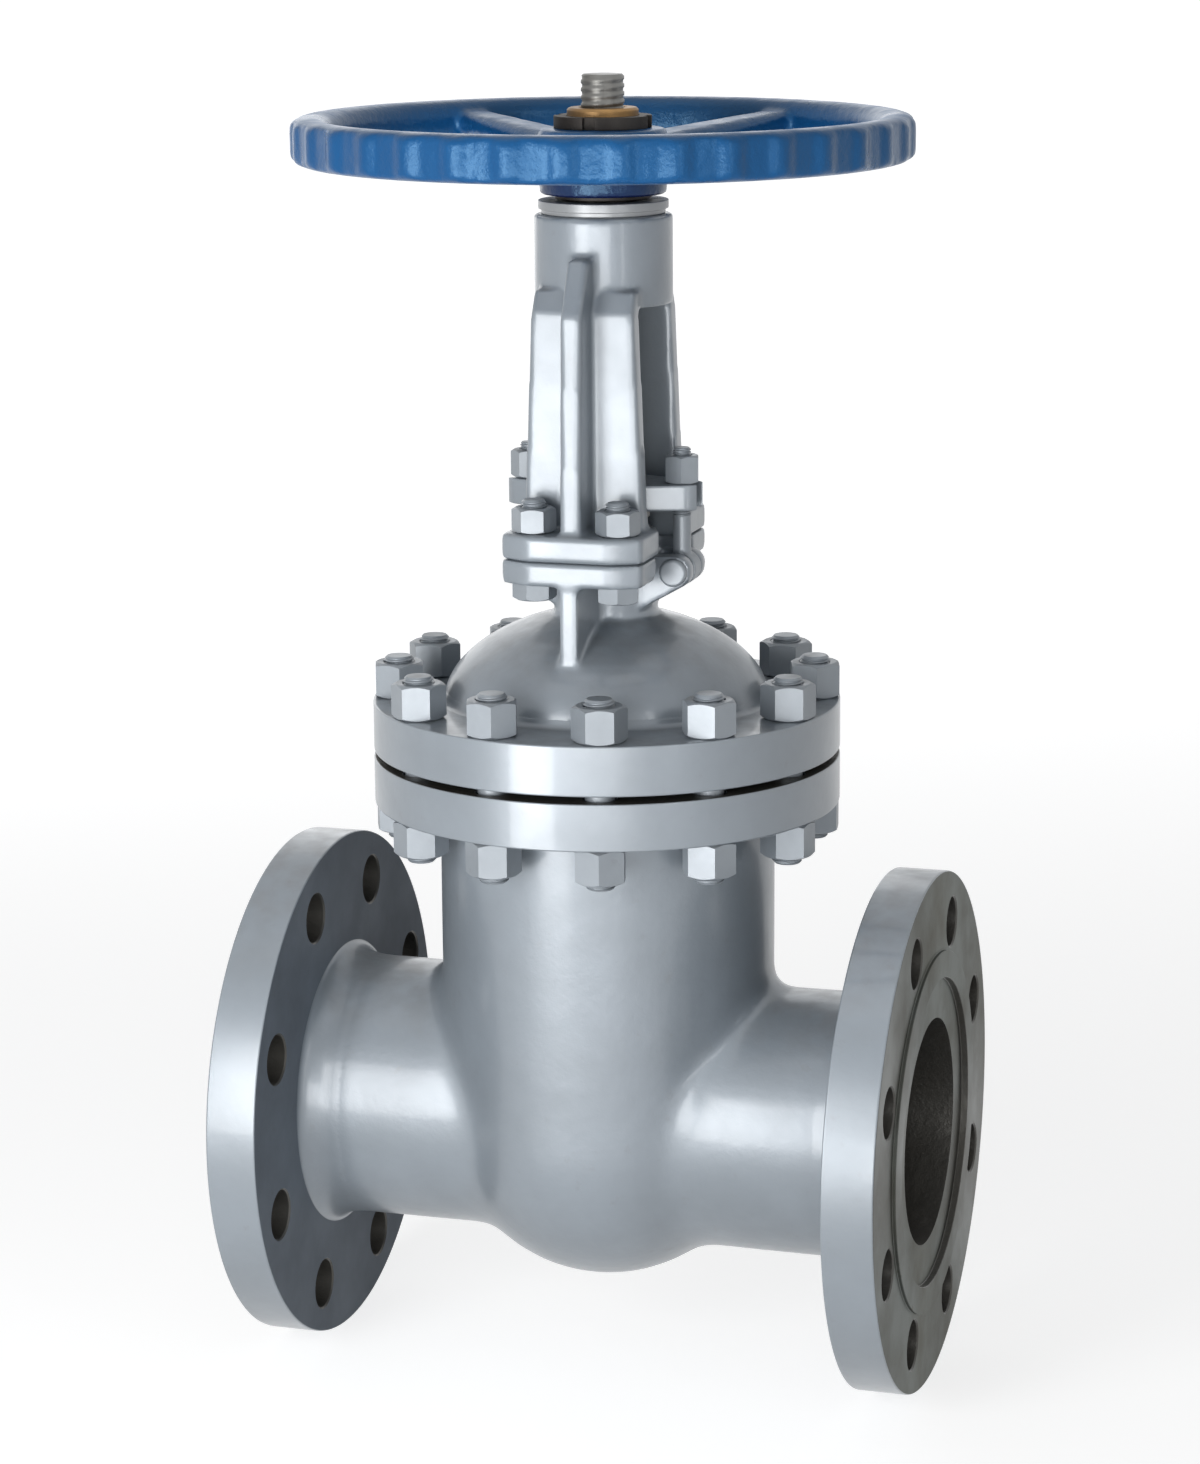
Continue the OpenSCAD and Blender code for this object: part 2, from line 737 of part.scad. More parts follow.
module yoke() {
    arm_top = window_top + head_h - outer_rib_drop;
    rib_in = head_r - rib_inset;
    color(paint) at_stem() difference() {
        union() {
            intersection() {
                yz_plate(2 * foot_half_w) arms_outline();
                xz_plate(2 * arm_y + past) polygon([[-arm_half_w, yoke_z], [arm_half_w, yoke_z],
                    [arm_half_w, foot_top], [arm_top_half_w, window_top], [arm_top_half_w, arm_top],
                    [-arm_top_half_w, arm_top], [-arm_top_half_w, window_top], [-arm_half_w, foot_top]]);
            }
            both_sides() {
                translate([0, 0, yoke_z]) linear_extrude(height = foot_t) foot_outline(foot_in);
                yz_plate(outer_rib_t) polygon([
                    [past - arm_y, foot_top - past], [-outer_rib_y, foot_top - past],
                    [outer_rib_lean - outer_rib_y, window_top - shoulder_drop],
                    [-head_r - outer_rib_out, arm_top],
                    [-rib_in, arm_top], [-rib_in, window_top]]);
            }
            translate([0, 0, window_top]) cylinder(r = head_r, h = head_h);
        }
        translate([0, 0, housing_z]) cylinder(r = housing_r, h = head_h);
        translate([0, 0, window_top - past]) cylinder(r = stem_r + stem_gap, h = head_h);
        both_sides() yoke_bolt_holes(yoke_z, foot_t);
    }
}

// The two arms and the bridge over them, seen along the pipe, with a window between them
module arms_outline() {
    half = foot_in - window_corner;
    corner_z = window_top - window_corner;
    shoulder_z = window_top - shoulder_drop;
    difference() {
        polygon([[-arm_y, yoke_z], [arm_y, yoke_z], [arm_y, shoulder_z],
                 [head_r - shoulder_in, shoulder_z + shoulder_h],
                 [shoulder_in - head_r, shoulder_z + shoulder_h], [-arm_y, shoulder_z]]);
        translate([-foot_in, yoke_z - past]) square([2 * foot_in, corner_z - yoke_z + past]);
        translate([-half, corner_z - past]) square([2 * half, window_corner + past]);
        for (s = [-1, 1]) translate([s * half, corner_z]) circle(r = window_corner);
    }
}

module yoke_bolts() {
    low = yoke_z - pad_t;
    for (x = [-1, 1]) translate([x * yoke_bolt_x, -yoke_bolt_y, 0]) {
        translate([0, 0, low - yoke_head_h]) hex(yoke_nut_w, yoke_head_h);
        translate([0, 0, low - past])
            cylinder(r = yoke_bolt_d / 2, h = foot_top + yoke_nut_h + yoke_bolt_end - low + past);
    }
}

module yoke_bolts_front() { color(paint_dark) at_stem() yoke_bolts(); }

module yoke_bolts_back() { color(paint_dark) at_stem() mirror([0, 1, 0]) yoke_bolts(); }

module yoke_nuts()
    for (x = [-1, 1]) translate([x * yoke_bolt_x, -yoke_bolt_y, foot_top])
        nut(yoke_nut_w, yoke_nut_h, yoke_bolt_d);

module yoke_nuts_front() { color(paint_dark) at_stem() yoke_nuts(); }

module yoke_nuts_back() { color(paint_dark) at_stem() mirror([0, 1, 0]) yoke_nuts(); }

module bearing_lower() {
    color(steel) at_stem() translate([0, 0, housing_z]) ring(housing_r - slip, nut_r + run, bearing_h);
}

module bearing_upper() {
    color(steel) at_stem() translate([0, 0, bearing_top - bearing_h])
        ring(housing_r - slip, nut_r + run, bearing_h);
}

module yoke_cap() {
    color(paint_dark) at_stem() difference() {
        union() {
            translate([0, 0, bearing_top]) cylinder(r = housing_r - slip, h = head_top - bearing_top + past);
            translate([0, 0, head_top]) cylinder(r = cap_r - groove_in, h = groove_h + past);
            translate([0, 0, cap_z]) cylinder(r = cap_r, h = cap_h);
        }
        translate([0, 0, bearing_top - past])
            cylinder(r = nut_r + run, h = cap_z + cap_h - bearing_top + 2 * past);
    }
}

// ---------- stem nut and handwheel ----------

module key_slot()
    translate([nut_r - key_depth, -key_w / 2, wheel_z + key_inset])
        cube([2 * key_depth, key_w, hub_h - 2 * key_inset]);

module stem_nut() {
    color(brass) at_stem() difference() {
        union() {
            translate([0, 0, housing_z + run]) cylinder(r = nut_r, h = nut_top - housing_z - run);
            translate([0, 0, nut_flange_z]) cylinder(r = nut_flange_r, h = nut_flange_h);
            translate([0, 0, wheel_z - wheel_gap + play]) cylinder(r = nut_shoulder_r, h = wheel_gap - play);
        }
        translate([0, 0, housing_z]) cylinder(r = stem_r + run, h = nut_top);
        key_slot();
    }
}

module handwheel_key() { color(steel) at_stem() key_slot(); }

module lock_nut() {
    color(graphite) at_stem() translate([0, 0, wheel_z + hub_h]) difference() {
        ring(lock_r, nut_r + slip, lock_h);
        around(4, lock_r - lock_slot_h) translate([0, -lock_slot_w / 2, -past])
            cube([2 * lock_slot_h, lock_slot_w, lock_h + 2 * past]);
    }
}

module handwheel() {
    color(blue) at_stem() difference() {
        union() {
            intersection() {
                translate([0, 0, rim_z + rim_h / 2]) rotate_extrude()
                    translate([wheel_r + grip_rise - (rim_w + grip_rise) / 2, 0])
                        rounded_box(rim_w + grip_rise, rim_h, rim_corner);
                translate([0, 0, rim_z - past]) linear_extrude(height = rim_h + 2 * past) {
                    circle(r = wheel_r - grip_h);
                    around(grip_count, wheel_r - grip_r) circle(r = grip_r);
                }
            }
            translate([0, 0, wheel_z]) cylinder(r = hub_r, h = hub_h);
            around(spoke_count, 0, spoke_turn) spoke();
        }
        translate([0, 0, wheel_z - past]) cylinder(r = nut_r + slip, h = hub_h + 2 * past);
        key_slot();
    }
}

// A spoke: a broad oval blade that narrows and climbs from the hub to the rim
module spoke() {
    hull() {
        translate([hub_r - spoke_bite, 0, wheel_z + hub_h / 2 + spoke_rise]) turned_to_x()
            linear_extrude(height = past) rounded_box(spoke_root_h, spoke_root_w, spoke_root_corner, $fn = 24);
        translate([wheel_r - rim_w / 2 - spoke_bite, 0, rim_z + rim_h / 2 + past]) turned_to_x()
            linear_extrude(height = past) rounded_box(spoke_tip_h, spoke_tip_w, spoke_tip_corner, $fn = 24);
    }
}

body_casting();
seat_ring_inlet();
seat_ring_outlet();
wedge();
stem();
bonnet_gasket();
bonnet();
bonnet_studs();
bonnet_nuts_upper();
bonnet_nuts_lower();
back_seat_bush();
packing();
gland_follower();
gland_flange();
eyebolt_inlet();
eyebolt_outlet();
eyebolt_nut_inlet();
eyebolt_nut_outlet();
eyebolt_pin_inlet();
eyebolt_pin_outlet();
yoke();
yoke_bolts_front();
yoke_bolts_back();
yoke_nuts_front();
yoke_nuts_back();
bearing_lower();
bearing_upper();
yoke_cap();
stem_nut();
handwheel();
handwheel_key();
lock_nut();
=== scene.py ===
# %% [markdown]
# # A flanged gate valve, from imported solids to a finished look
#
# The valve's solids come from a CAD model: castings, bolts, stem, wedge and handwheel, each at its real
# size. They are a fixed frame here. Nothing in them is moved. This notebook gives them what a drawing
# leaves out: rounded cast corners, threads, chamfers, paint, and the marks of use.
#
# All lengths are in metres, and Z points up along the stem. A length in millimetres is written as a
# number times MM.

# %% Load the frame
import json
import math
import random

import bmesh
import bpy
from mathutils import Matrix, Vector

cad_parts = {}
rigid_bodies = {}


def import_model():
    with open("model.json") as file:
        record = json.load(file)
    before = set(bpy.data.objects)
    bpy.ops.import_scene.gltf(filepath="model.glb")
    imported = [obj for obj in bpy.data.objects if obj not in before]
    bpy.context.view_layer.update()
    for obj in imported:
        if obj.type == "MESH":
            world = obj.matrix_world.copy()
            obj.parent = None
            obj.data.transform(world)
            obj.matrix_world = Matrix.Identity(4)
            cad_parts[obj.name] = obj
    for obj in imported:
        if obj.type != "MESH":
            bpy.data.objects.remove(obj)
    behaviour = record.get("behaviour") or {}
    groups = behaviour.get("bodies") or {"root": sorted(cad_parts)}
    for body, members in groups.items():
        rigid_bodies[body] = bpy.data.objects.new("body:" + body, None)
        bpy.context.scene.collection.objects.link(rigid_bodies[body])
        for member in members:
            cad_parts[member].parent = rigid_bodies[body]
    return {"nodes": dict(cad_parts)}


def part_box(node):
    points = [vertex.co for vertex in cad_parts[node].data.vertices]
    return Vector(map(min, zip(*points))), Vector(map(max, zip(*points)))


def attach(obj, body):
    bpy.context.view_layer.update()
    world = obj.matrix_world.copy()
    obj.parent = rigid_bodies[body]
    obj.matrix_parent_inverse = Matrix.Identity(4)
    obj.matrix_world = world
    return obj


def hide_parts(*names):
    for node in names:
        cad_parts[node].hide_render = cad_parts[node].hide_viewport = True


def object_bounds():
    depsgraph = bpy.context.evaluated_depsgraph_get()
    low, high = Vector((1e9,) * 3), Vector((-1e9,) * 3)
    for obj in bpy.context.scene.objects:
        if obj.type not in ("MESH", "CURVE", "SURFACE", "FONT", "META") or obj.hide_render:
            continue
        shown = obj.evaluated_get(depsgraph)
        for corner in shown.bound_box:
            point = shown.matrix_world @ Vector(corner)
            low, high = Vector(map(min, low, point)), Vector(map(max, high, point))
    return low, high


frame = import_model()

cad_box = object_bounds()
MM = 0.001
stem_low, stem_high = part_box("stem")
STEM_X = (stem_low.x + stem_high.x) / 2
print("stem axis at x =", round(STEM_X, 4), "; the part's top at z =", round(cad_box[1][2], 4))

# %% [markdown]
# ## Camera
#
# The view is a product shot: the camera stands a little right of square and a little above the valve.
# A long lens keeps the near flange from looking swollen. The camera is placed by angles round a point it
# looks at, because those are easier to read and to change than a matrix of numbers.

# %% Camera
VIEW_AZIMUTH = 17.133
VIEW_ELEVATION = 12.73
VIEW_ROLL = -0.428
VIEW_DISTANCE = 2587.4 * MM
VIEW_TARGET = Vector((STEM_X - 4.9 * MM, 0, 256.6 * MM))
SENSOR = 36.0
LENS = 96.14
CLIP_END = 300


def stand_off(obj, target, azimuth, elevation, distance, roll=0.0):
    """Puts a camera or a lamp at angles in degrees and a distance from a point, facing it.

    Azimuth 0 is in front of the valve, and 90 along the pipe.
    """
    az, el = math.radians(azimuth), math.radians(elevation)
    way = Vector((math.sin(az) * math.cos(el), -math.cos(az) * math.cos(el), math.sin(el)))
    turned = way.to_track_quat("Z", "Y").to_matrix() @ Matrix.Rotation(math.radians(roll), 3, "Z")
    obj.matrix_world = Matrix.Translation(target + way * distance) @ turned.to_4x4()


def add_object(name, data):
    obj = bpy.data.objects.new(name, data)
    bpy.context.scene.collection.objects.link(obj)
    return obj


def place_camera():
    data = bpy.data.cameras.new("view")
    data.sensor_width = SENSOR
    data.lens = LENS
    data.clip_end = CLIP_END
    camera = add_object("view", data)
    stand_off(camera, VIEW_TARGET, VIEW_AZIMUTH, VIEW_ELEVATION, VIEW_DISTANCE, VIEW_ROLL)
    bpy.context.scene.camera = camera


place_camera()
print("camera at", [round(v, 3) for v in bpy.context.scene.camera.matrix_world.translation])

# %% [markdown]
# ## Small tools for materials
#
# A material is a tree of nodes. Most of what follows needs only sums, products and ranges of values, so a
# few short functions make those nodes, fill them in and wire them up.

# %% Values, sums and ranges
def put(socket, value):
    """Gives an input its value, which is a number, a colour or another node's output."""
    if isinstance(value, bpy.types.NodeSocket):
        socket.id_data.links.new(value, socket)
    else:
        socket.default_value = value


def fill(node, **values):
    """Gives a node's inputs their values by name. An underscore stands for a space."""
    for label, value in values.items():
        put(node.inputs[label.replace("_", " ")], value)


def object_place(tree):
    """A point's place in the object's own coordinates."""
    return tree.nodes.new("ShaderNodeTexCoord").outputs["Object"]


def combine(tree, operation, first, second=0.0):
    """A Math node of two values, either of which may be a number."""
    node = tree.nodes.new("ShaderNodeMath")
    node.operation = operation
    put(node.inputs[0], first)
    put(node.inputs[1], second)
    return node.outputs[0]


def stretch(tree, value, low, high, to_low=0.0, to_high=1.0, way="LINEAR"):
    """Maps a value from one range to another, and keeps it within the second."""
    node = tree.nodes.new("ShaderNodeMapRange")
    node.interpolation_type = way
    fill(node, Value=value, From_Min=low, From_Max=high, To_Min=to_low, To_Max=to_high)
    return node.outputs["Result"]


# %% [markdown]
# ## Floor and light
#
# A studio sweep is a pale sheet under soft boxes. Here the floor is one large plane. Rays that come
# straight from the camera see a little glow added to it, so that it reads as white paper while the
# valve's own light stays plain and its shadow stays on the floor. Five soft boxes stand round the valve: a
# close one in front and to the left, a broad one in front, a narrow one to the right, one overhead and one
# behind. Mirror-like paint shows their shapes, so the width of a box is the width of a band on a rim.

# %% Floor
FLOOR_SIZE = 160.0
FLOOR_DROP = 0.3 * MM
PAPER = (0.50, 0.505, 0.51, 1)
PAPER_ROUGHNESS = 0.9
GLOW_NEAR, GLOW_FAR = 0.74, 0.98
NEAR_RANGE, FAR_RANGE = 0.5, 4.0


def seen_directly(tree):
    """1 for rays from the camera, mirrors and glass, and 0 for the light that falls on things."""
    path = tree.nodes.new("ShaderNodeLightPath")
    camera, glossy, through = (path.outputs[f"Is {ray} Ray"] for ray in ("Camera", "Glossy", "Transmission"))
    return combine(tree, "MAXIMUM", combine(tree, "MAXIMUM", camera, glossy), through)


def as_mesh(bm, name="work"):
    """The shape as a mesh. bm itself is used up."""
    mesh = bpy.data.meshes.new(name)
    bm.to_mesh(mesh)
    bm.free()
    return mesh


def lay_floor():
    bm = bmesh.new()
    bmesh.ops.create_grid(bm, x_segments=1, y_segments=1, size=FLOOR_SIZE / 2)
    bmesh.ops.translate(bm, vec=(STEM_X, 0, cad_box[0][2] - FLOOR_DROP), verts=bm.verts)
    floor = add_object("floor", as_mesh(bm, "floor"))
    paper = bpy.data.materials.new("paper")
    paper.use_nodes = True
    tree = paper.node_tree
    shader = tree.nodes["Principled BSDF"]
    away = tree.nodes.new("ShaderNodeVectorMath")
    away.operation = "LENGTH"
    put(away.inputs[0], object_place(tree))
    glow = stretch(tree, away.outputs["Value"], NEAR_RANGE, FAR_RANGE, GLOW_NEAR, GLOW_FAR, "SMOOTHSTEP")
    fill(shader, Base_Color=PAPER, Roughness=PAPER_ROUGHNESS, Emission_Color=(1, 1, 1, 1),
         Emission_Strength=combine(tree, "MULTIPLY", seen_directly(tree), glow))
    floor.data.materials.append(paper)


lay_floor()
print("floor:", round(FLOOR_SIZE), "m wide, at z =", round(cad_box[0][2] - FLOOR_DROP, 4))

# %% Sky
SKY = (0.97, 0.985, 1.0, 1)
SKY_FOR_LIGHT = 0.08


def light_sky():
    world = bpy.data.worlds.new("studio")
    bpy.context.scene.world = world
    world.use_nodes = True
    tree = world.node_tree
    strength = stretch(tree, seen_directly(tree), 0, 1, SKY_FOR_LIGHT)
    fill(tree.nodes["Background"], Color=SKY, Strength=strength)


light_sky()
print("sky: strength", SKY_FOR_LIGHT, "for light, and 1 as seen")


# %% Lamps
def soft_box(name, width, height, watts, azimuth, elevation, distance, aim):
    """A flat lamp that stands off a point on the stem's axis at the height aim."""
    data = bpy.data.lights.new(name, "AREA")
    data.shape = "RECTANGLE"
    data.size = width
    data.size_y = height
    data.energy = watts
    stand_off(add_object(name, data), Vector((STEM_X, 0, aim)), azimuth, elevation, distance)


# name, width, height, watts, azimuth, elevation, distance, height of the point it faces
for lamp in (("key_box", 0.5, 0.95, 13, -18, 0, 1.35, 0.31),
             ("front_box", 1.3, 0.7, 18.5, 11, 0, 2.2, 0.15),
             ("side_box", 0.12, 1.8, 5, 48, 12, 2.4, 0.25),
             ("top_box", 1.6, 1.6, 4, -20, 80, 2.2, 0.3),
             ("back_box", 2.0, 1.6, 8, -150, 15, 2.6, 0.3)):
    soft_box(*lamp)
bpy.context.scene.view_settings.view_transform = "Standard"
print("lamps:", len(bpy.data.lights))

# %% [markdown]
# ## Helpers for turned and cast pieces
#
# Most of a valve is made on a lathe or in a sand mould. A turned piece is an outline spun about an axis,
# with its sharp edges broken by a small bevel, as a turner does with a file. A cast piece starts as
# rough solids that overlap. A voxel remesh melts them into one skin, and a few rounds of smoothing give
# it the soft corners that sand leaves. Cuts and unions use a boolean, as a machinist would mill a
# casting after it has been poured.

# %% Moves and cuts
def move(bm, x=0.0, y=0.0, z=0.0):
    bmesh.ops.translate(bm, vec=(x, y, z), verts=bm.verts)


def turn(bm, degrees, axis, height=0.0):
    """Turns a shape about a level or upright line through the Z axis."""
    bmesh.ops.rotate(bm, cent=(0, 0, height), matrix=Matrix.Rotation(math.radians(degrees), 3, axis),
                     verts=bm.verts)


def face_out(bm):
    bmesh.ops.recalc_face_normals(bm, faces=bm.faces)


def cut_off(bm, point, normal):
    """Cuts a shape at a plane and drops the side that the normal points to. The cut stays open."""
    bmesh.ops.bisect_plane(bm, geom=bm.verts[:] + bm.edges[:] + bm.faces[:], plane_co=point,
                           plane_no=normal, clear_outer=True)


def close(bm):
    bmesh.ops.holes_fill(bm, edges=bm.edges, sides=0)
    face_out(bm)


# %% Turned shapes
def swept(line, steps, climb=0.0):
    """A line of (radius, height) points swept once round the Z axis. It is closed, unless it climbs."""
    closed = not climb
    bm = bmesh.new()
    verts = [bm.verts.new((radius, 0, height)) for radius, height in line]
    edges = [bm.edges.new(pair) for pair in zip(verts, verts[1:] + verts[:closed])]
    bmesh.ops.spin(bm, geom=verts + edges, cent=(0, 0, 0), axis=(0, 0, 1), angle=2 * math.pi,
                   dvec=(0, 0, climb / steps), steps=steps, use_merge=closed)
    return bm


def spun(outline, steps=96):
    """A closed outline of (radius, height) points, spun about the Z axis into a solid."""
    bm = swept(outline, steps)
    bmesh.ops.remove_doubles(bm, verts=bm.verts, dist=1e-6)
    on_axis = [e for e in bm.edges if all(v.co.xy.length < 1e-6 for v in e.verts)]
    bmesh.ops.delete(bm, geom=on_axis, context="EDGES")
    face_out(bm)
    return bm


def rod(radius, low, high, steps=96):
    """A plain round bar between two heights."""
    return spun([(0, low), (radius, low), (radius, high), (0, high)], steps)


def arc_points(centre, radius, start, end, count=5, radius_z=None):
    """Points along a round or oval corner of an outline, by angles in degrees."""
    angles = [math.radians(start + (end - start) * i / count) for i in range(count + 1)]
    return [(centre[0] + radius * math.cos(a), centre[1] + (radius_z or radius) * math.sin(a))
            for a in angles]


def break_edges(bm, width, segments=2, beyond=-1.0, within=1.0):
    """Bevels every edge sharper than 30 degrees that lies between two distances from the Z axis."""
    sharp = [e for e in bm.edges if len(e.link_faces) == 2 and e.calc_face_angle() > math.radians(30)
             and beyond < e.verts[0].co.xy.length < within]
    bmesh.ops.bevel(bm, geom=sharp, offset=width, offset_type="OFFSET", segments=segments, profile=0.5,
                    affect="EDGES", clamp_overlap=True, material=-1)


def lie_along_pipe(bm):
    """Turns a shape spun about Z so that its axis lies along the pipe, +X."""
    turn(bm, 90, "Y")
    return bm


def to_stem(bm):
    """Moves a shape made about the Z axis to the stem's place."""
    move(bm, STEM_X)
    return bm


def finished(bm, finish=None):
    """Turns the faces outward, gives each one its finish by its middle point, and moves all to the stem."""
    face_out(bm)
    if finish:
        for face in bm.faces:
            face.material_index = finish(face.calc_center_median())
    return to_stem(bm)


# %% Shapes put together
def forget(obj):
    """Removes a work object together with its mesh."""
    mesh = obj.data
    bpy.data.objects.remove(obj)
    bpy.data.meshes.remove(mesh)


def copies(bm, places):
    """A new shape made of one copy of bm at each 4x4 matrix in places. bm itself is used up."""
    start = as_mesh(bm)
    out = bmesh.new()
    for place in places:
        before = len(out.verts)
        out.from_mesh(start)
        out.verts.ensure_lookup_table()
        bmesh.ops.transform(out, matrix=place, verts=out.verts[before:])
    bpy.data.meshes.remove(start)
    return out


def joined(*parts):
    """Several shapes in one, still as separate shells."""
    out = bmesh.new()
    for part in parts:
        mesh = as_mesh(part)
        out.from_mesh(mesh)
        bpy.data.meshes.remove(mesh)
    return out


def block(low, high):
    """A rectangular block between two corners."""
    bm = bmesh.new()
    bmesh.ops.create_cube(bm, size=1)
    size = [b - a for a, b in zip(low, high)]
    middle = [(a + b) / 2 for a, b in zip(low, high)]
    bmesh.ops.scale(bm, vec=size, verts=bm.verts)
    move(bm, *middle)
    return bm


# %% Modifiers as tools
def as_object(bm, name="work"):
    return add_object(name, as_mesh(bm, name))


def settled(obj):
    """The object's shape with its modifiers worked in, as a new bmesh. The object is removed."""
    depsgraph = bpy.context.evaluated_depsgraph_get()
    mesh = bpy.data.meshes.new_from_object(obj.evaluated_get(depsgraph), depsgraph=depsgraph)
    bm = bmesh.new()
    bm.from_mesh(mesh)
    bpy.data.meshes.remove(mesh)
    forget(obj)
    return bm


def boolean(operation, base, *tools):
    """Joins, cuts or intersects closed shapes, one tool after another. All of them are used up."""
    for tool in tools:
        base_object, tool_object = as_object(base), as_object(tool)
        cut = base_object.modifiers.new("cut", "BOOLEAN")
        cut.operation = operation
        cut.solver = "MANIFOLD"
        cut.object = tool_object
        base = settled(base_object)
        forget(tool_object)
    return base


def skinned(bm, voxel):
    """Melts overlapping closed shapes into one even skin."""
    obj = as_object(bm)
    skin = obj.modifiers.new("skin", "REMESH")
    skin.mode = "VOXEL"
    skin.voxel_size = voxel
    return settled(obj)


def relax(bm, rounds, pick=None):
    """Rounds corners off by moving each point towards its neighbours, again and again."""
    verts = [v for v in bm.verts if pick is None or pick(v.co)]
    for _ in range(rounds):
        bmesh.ops.smooth_vert(bm, verts=verts, factor=0.5, use_axis_x=True, use_axis_y=True, use_axis_z=True)


# %% From a CAD node to a finished piece
def merged_copy(node):
    """A CAD node's shape with its loose triangles sewn together."""
    bm = bmesh.new()
    bm.from_mesh(frame["nodes"][node].data)
    bmesh.ops.remove_doubles(bm, verts=bm.verts, dist=2e-6)
    return bm


def soft_cast(node, voxel, rounds):
    """A CAD node as one skin with soft corners."""
    skin = skinned(merged_copy(node), voxel)
    relax(skin, rounds)
    return skin


def piece(bm, name, body, materials, replaces=(), sharp=35):
    """Makes the finished object: its finish, its body and the CAD nodes it stands for.

    Weighted normals keep a turned rim as flat in the light as it is in shape, up to its bevel.
    """
    obj = as_object(bm, name)
    mesh = obj.data
    for material in materials:
        mesh.materials.append(material)
    mesh.shade_smooth()
    mesh.set_sharp_from_angle(angle=math.radians(sharp))
    weighted = obj.modifiers.new("weighted_normals", "WEIGHTED_NORMAL")
    weighted.keep_sharp = True
    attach(obj, body)
    if replaces:
        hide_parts(*replaces)
    size = [round((max(line) - min(line)) / MM) for line in zip(*(v.co for v in mesh.vertices))]
    print(f"{name}: {len(mesh.polygons)} faces, {size[0]} x {size[1]} x {size[2]} mm, rides on {body}")


# %% [markdown]
# ## Fasteners
#
# A hexagon nut starts as a six-sided bar. The lathe cones its corners off at both ends, and a drill and a
# tap make the hole. Here the bar is intersected with that turned shape, so the curved edge where the cone
# meets each flat comes out by itself. A screw thread is a zigzag line spun once round while it climbs by
# one pitch.

# %% Nuts, bolts and threads
def hexagon(flats, low, high, cone_on_top=True):
    """A six-sided bar, its corners coned off at the foot, and on top too unless told otherwise."""
    corner = flats / math.sqrt(3)
    bm = bmesh.new()
    bmesh.ops.create_cone(bm, cap_ends=True, segments=6, radius1=corner, radius2=corner,
                          depth=high - low + 2 * MM)
    move(bm, z=(low + high) / 2)
    wide, face = corner + 0.2 * MM, flats * 0.47
    cone = (wide - face) * math.tan(math.radians(30))
    top = [(wide, high - cone), (face, high)] if cone_on_top else [(wide, high)]
    turned = spun([(0, low), (face, low), (wide, low + cone)] + top + [(0, high)], 48)
    return boolean("INTERSECT", bm, turned)


def hex_nut(flats, height, bore):
    """A nut that stands on z = 0."""
    mouth = 0.8 * MM
    hole = spun([(0, -MM), (bore + mouth + MM, -MM), (bore, mouth), (bore, height - mouth),
                 (bore + mouth + MM, height + MM), (0, height + MM)], 32)
    return boolean("DIFFERENCE", hexagon(flats, 0, height), hole)


def threaded(radius, pitch, low, high, steps=24, crest=0.12, depth=0.6):
    """A threaded rod between two heights, with flat ends. crest and depth are in pitches."""
    root = radius - depth * pitch
    line = []
    for index in range(math.ceil((high - low) / pitch) + 3):
        foot = low + (index - 2) * pitch
        line += [(root, foot), (root, foot + crest * pitch), (radius, foot + 0.5 * pitch),
                 (radius, foot + (0.5 + crest) * pitch)]
    bm = swept(line, steps, climb=pitch)
    bmesh.ops.remove_doubles(bm, verts=bm.verts, dist=1e-5)
    cut_off(bm, (0, 0, low), (0, 0, -1))
    cut_off(bm, (0, 0, high), (0, 0, 1))
    close(bm)
    return bm


def stud_end(radius, pitch, low, high):
    """The threaded end of a bolt that points up, with its tip coned off."""
    tip = 0.8 * pitch
    keep = spun([(0, low - MM), (radius + MM, low - MM), (radius + MM, high - tip - MM),
                 (radius - tip, high), (0, high)], 24)
    return boolean("INTERSECT", threaded(radius, pitch, low, high + MM), keep)


def mirrored(bm, way=(-1, 1, 1)):
    """A mirror image of a shape, with its faces turned the right way again."""
    other = bm.copy()
    bmesh.ops.scale(other, vec=way, verts=other.verts)
    bmesh.ops.reverse_faces(other, faces=other.faces)
    face_out(other)
    return other


def round_places(count, radius, height=0.0, twist=None, lift=None):
    """Places round the Z axis, from half a step off X. Each has a turn in degrees and a lift if asked."""
    places = []
    for i in range(count):
        own_turn = math.radians(twist[i] if twist else 0)
        rise = height + (lift[i] if lift else 0)
        places.append(Matrix.Rotation(math.radians((180 + 360 * i) / count), 4, "Z")
                      @ Matrix.Translation((radius, 0, rise)) @ Matrix.Rotation(own_turn, 4, "Z"))
    return places


# %% [markdown]
# ## Body casting
#
# The body is one steel casting: an upright barrel with a round bottom, and a pipe neck on each side. The
# sand mould leaves soft hollows where a neck runs into the barrel. So the barrel and the necks are melted
# into one skin, and the points near their meeting line are smoothed again and again, most of all close to
# it. The flanges are turned after casting, so they are spun with crisp edges and joined on. Last comes the
# machinist's work: the bore, the seat pockets, the wedge chamber and all the holes.
#
# The new pieces share the sizes of the solids they stand for, so each size is named once, where it is first
# needed. Heights are over the pipe's axis. Lengths along the pipe are from the stem.

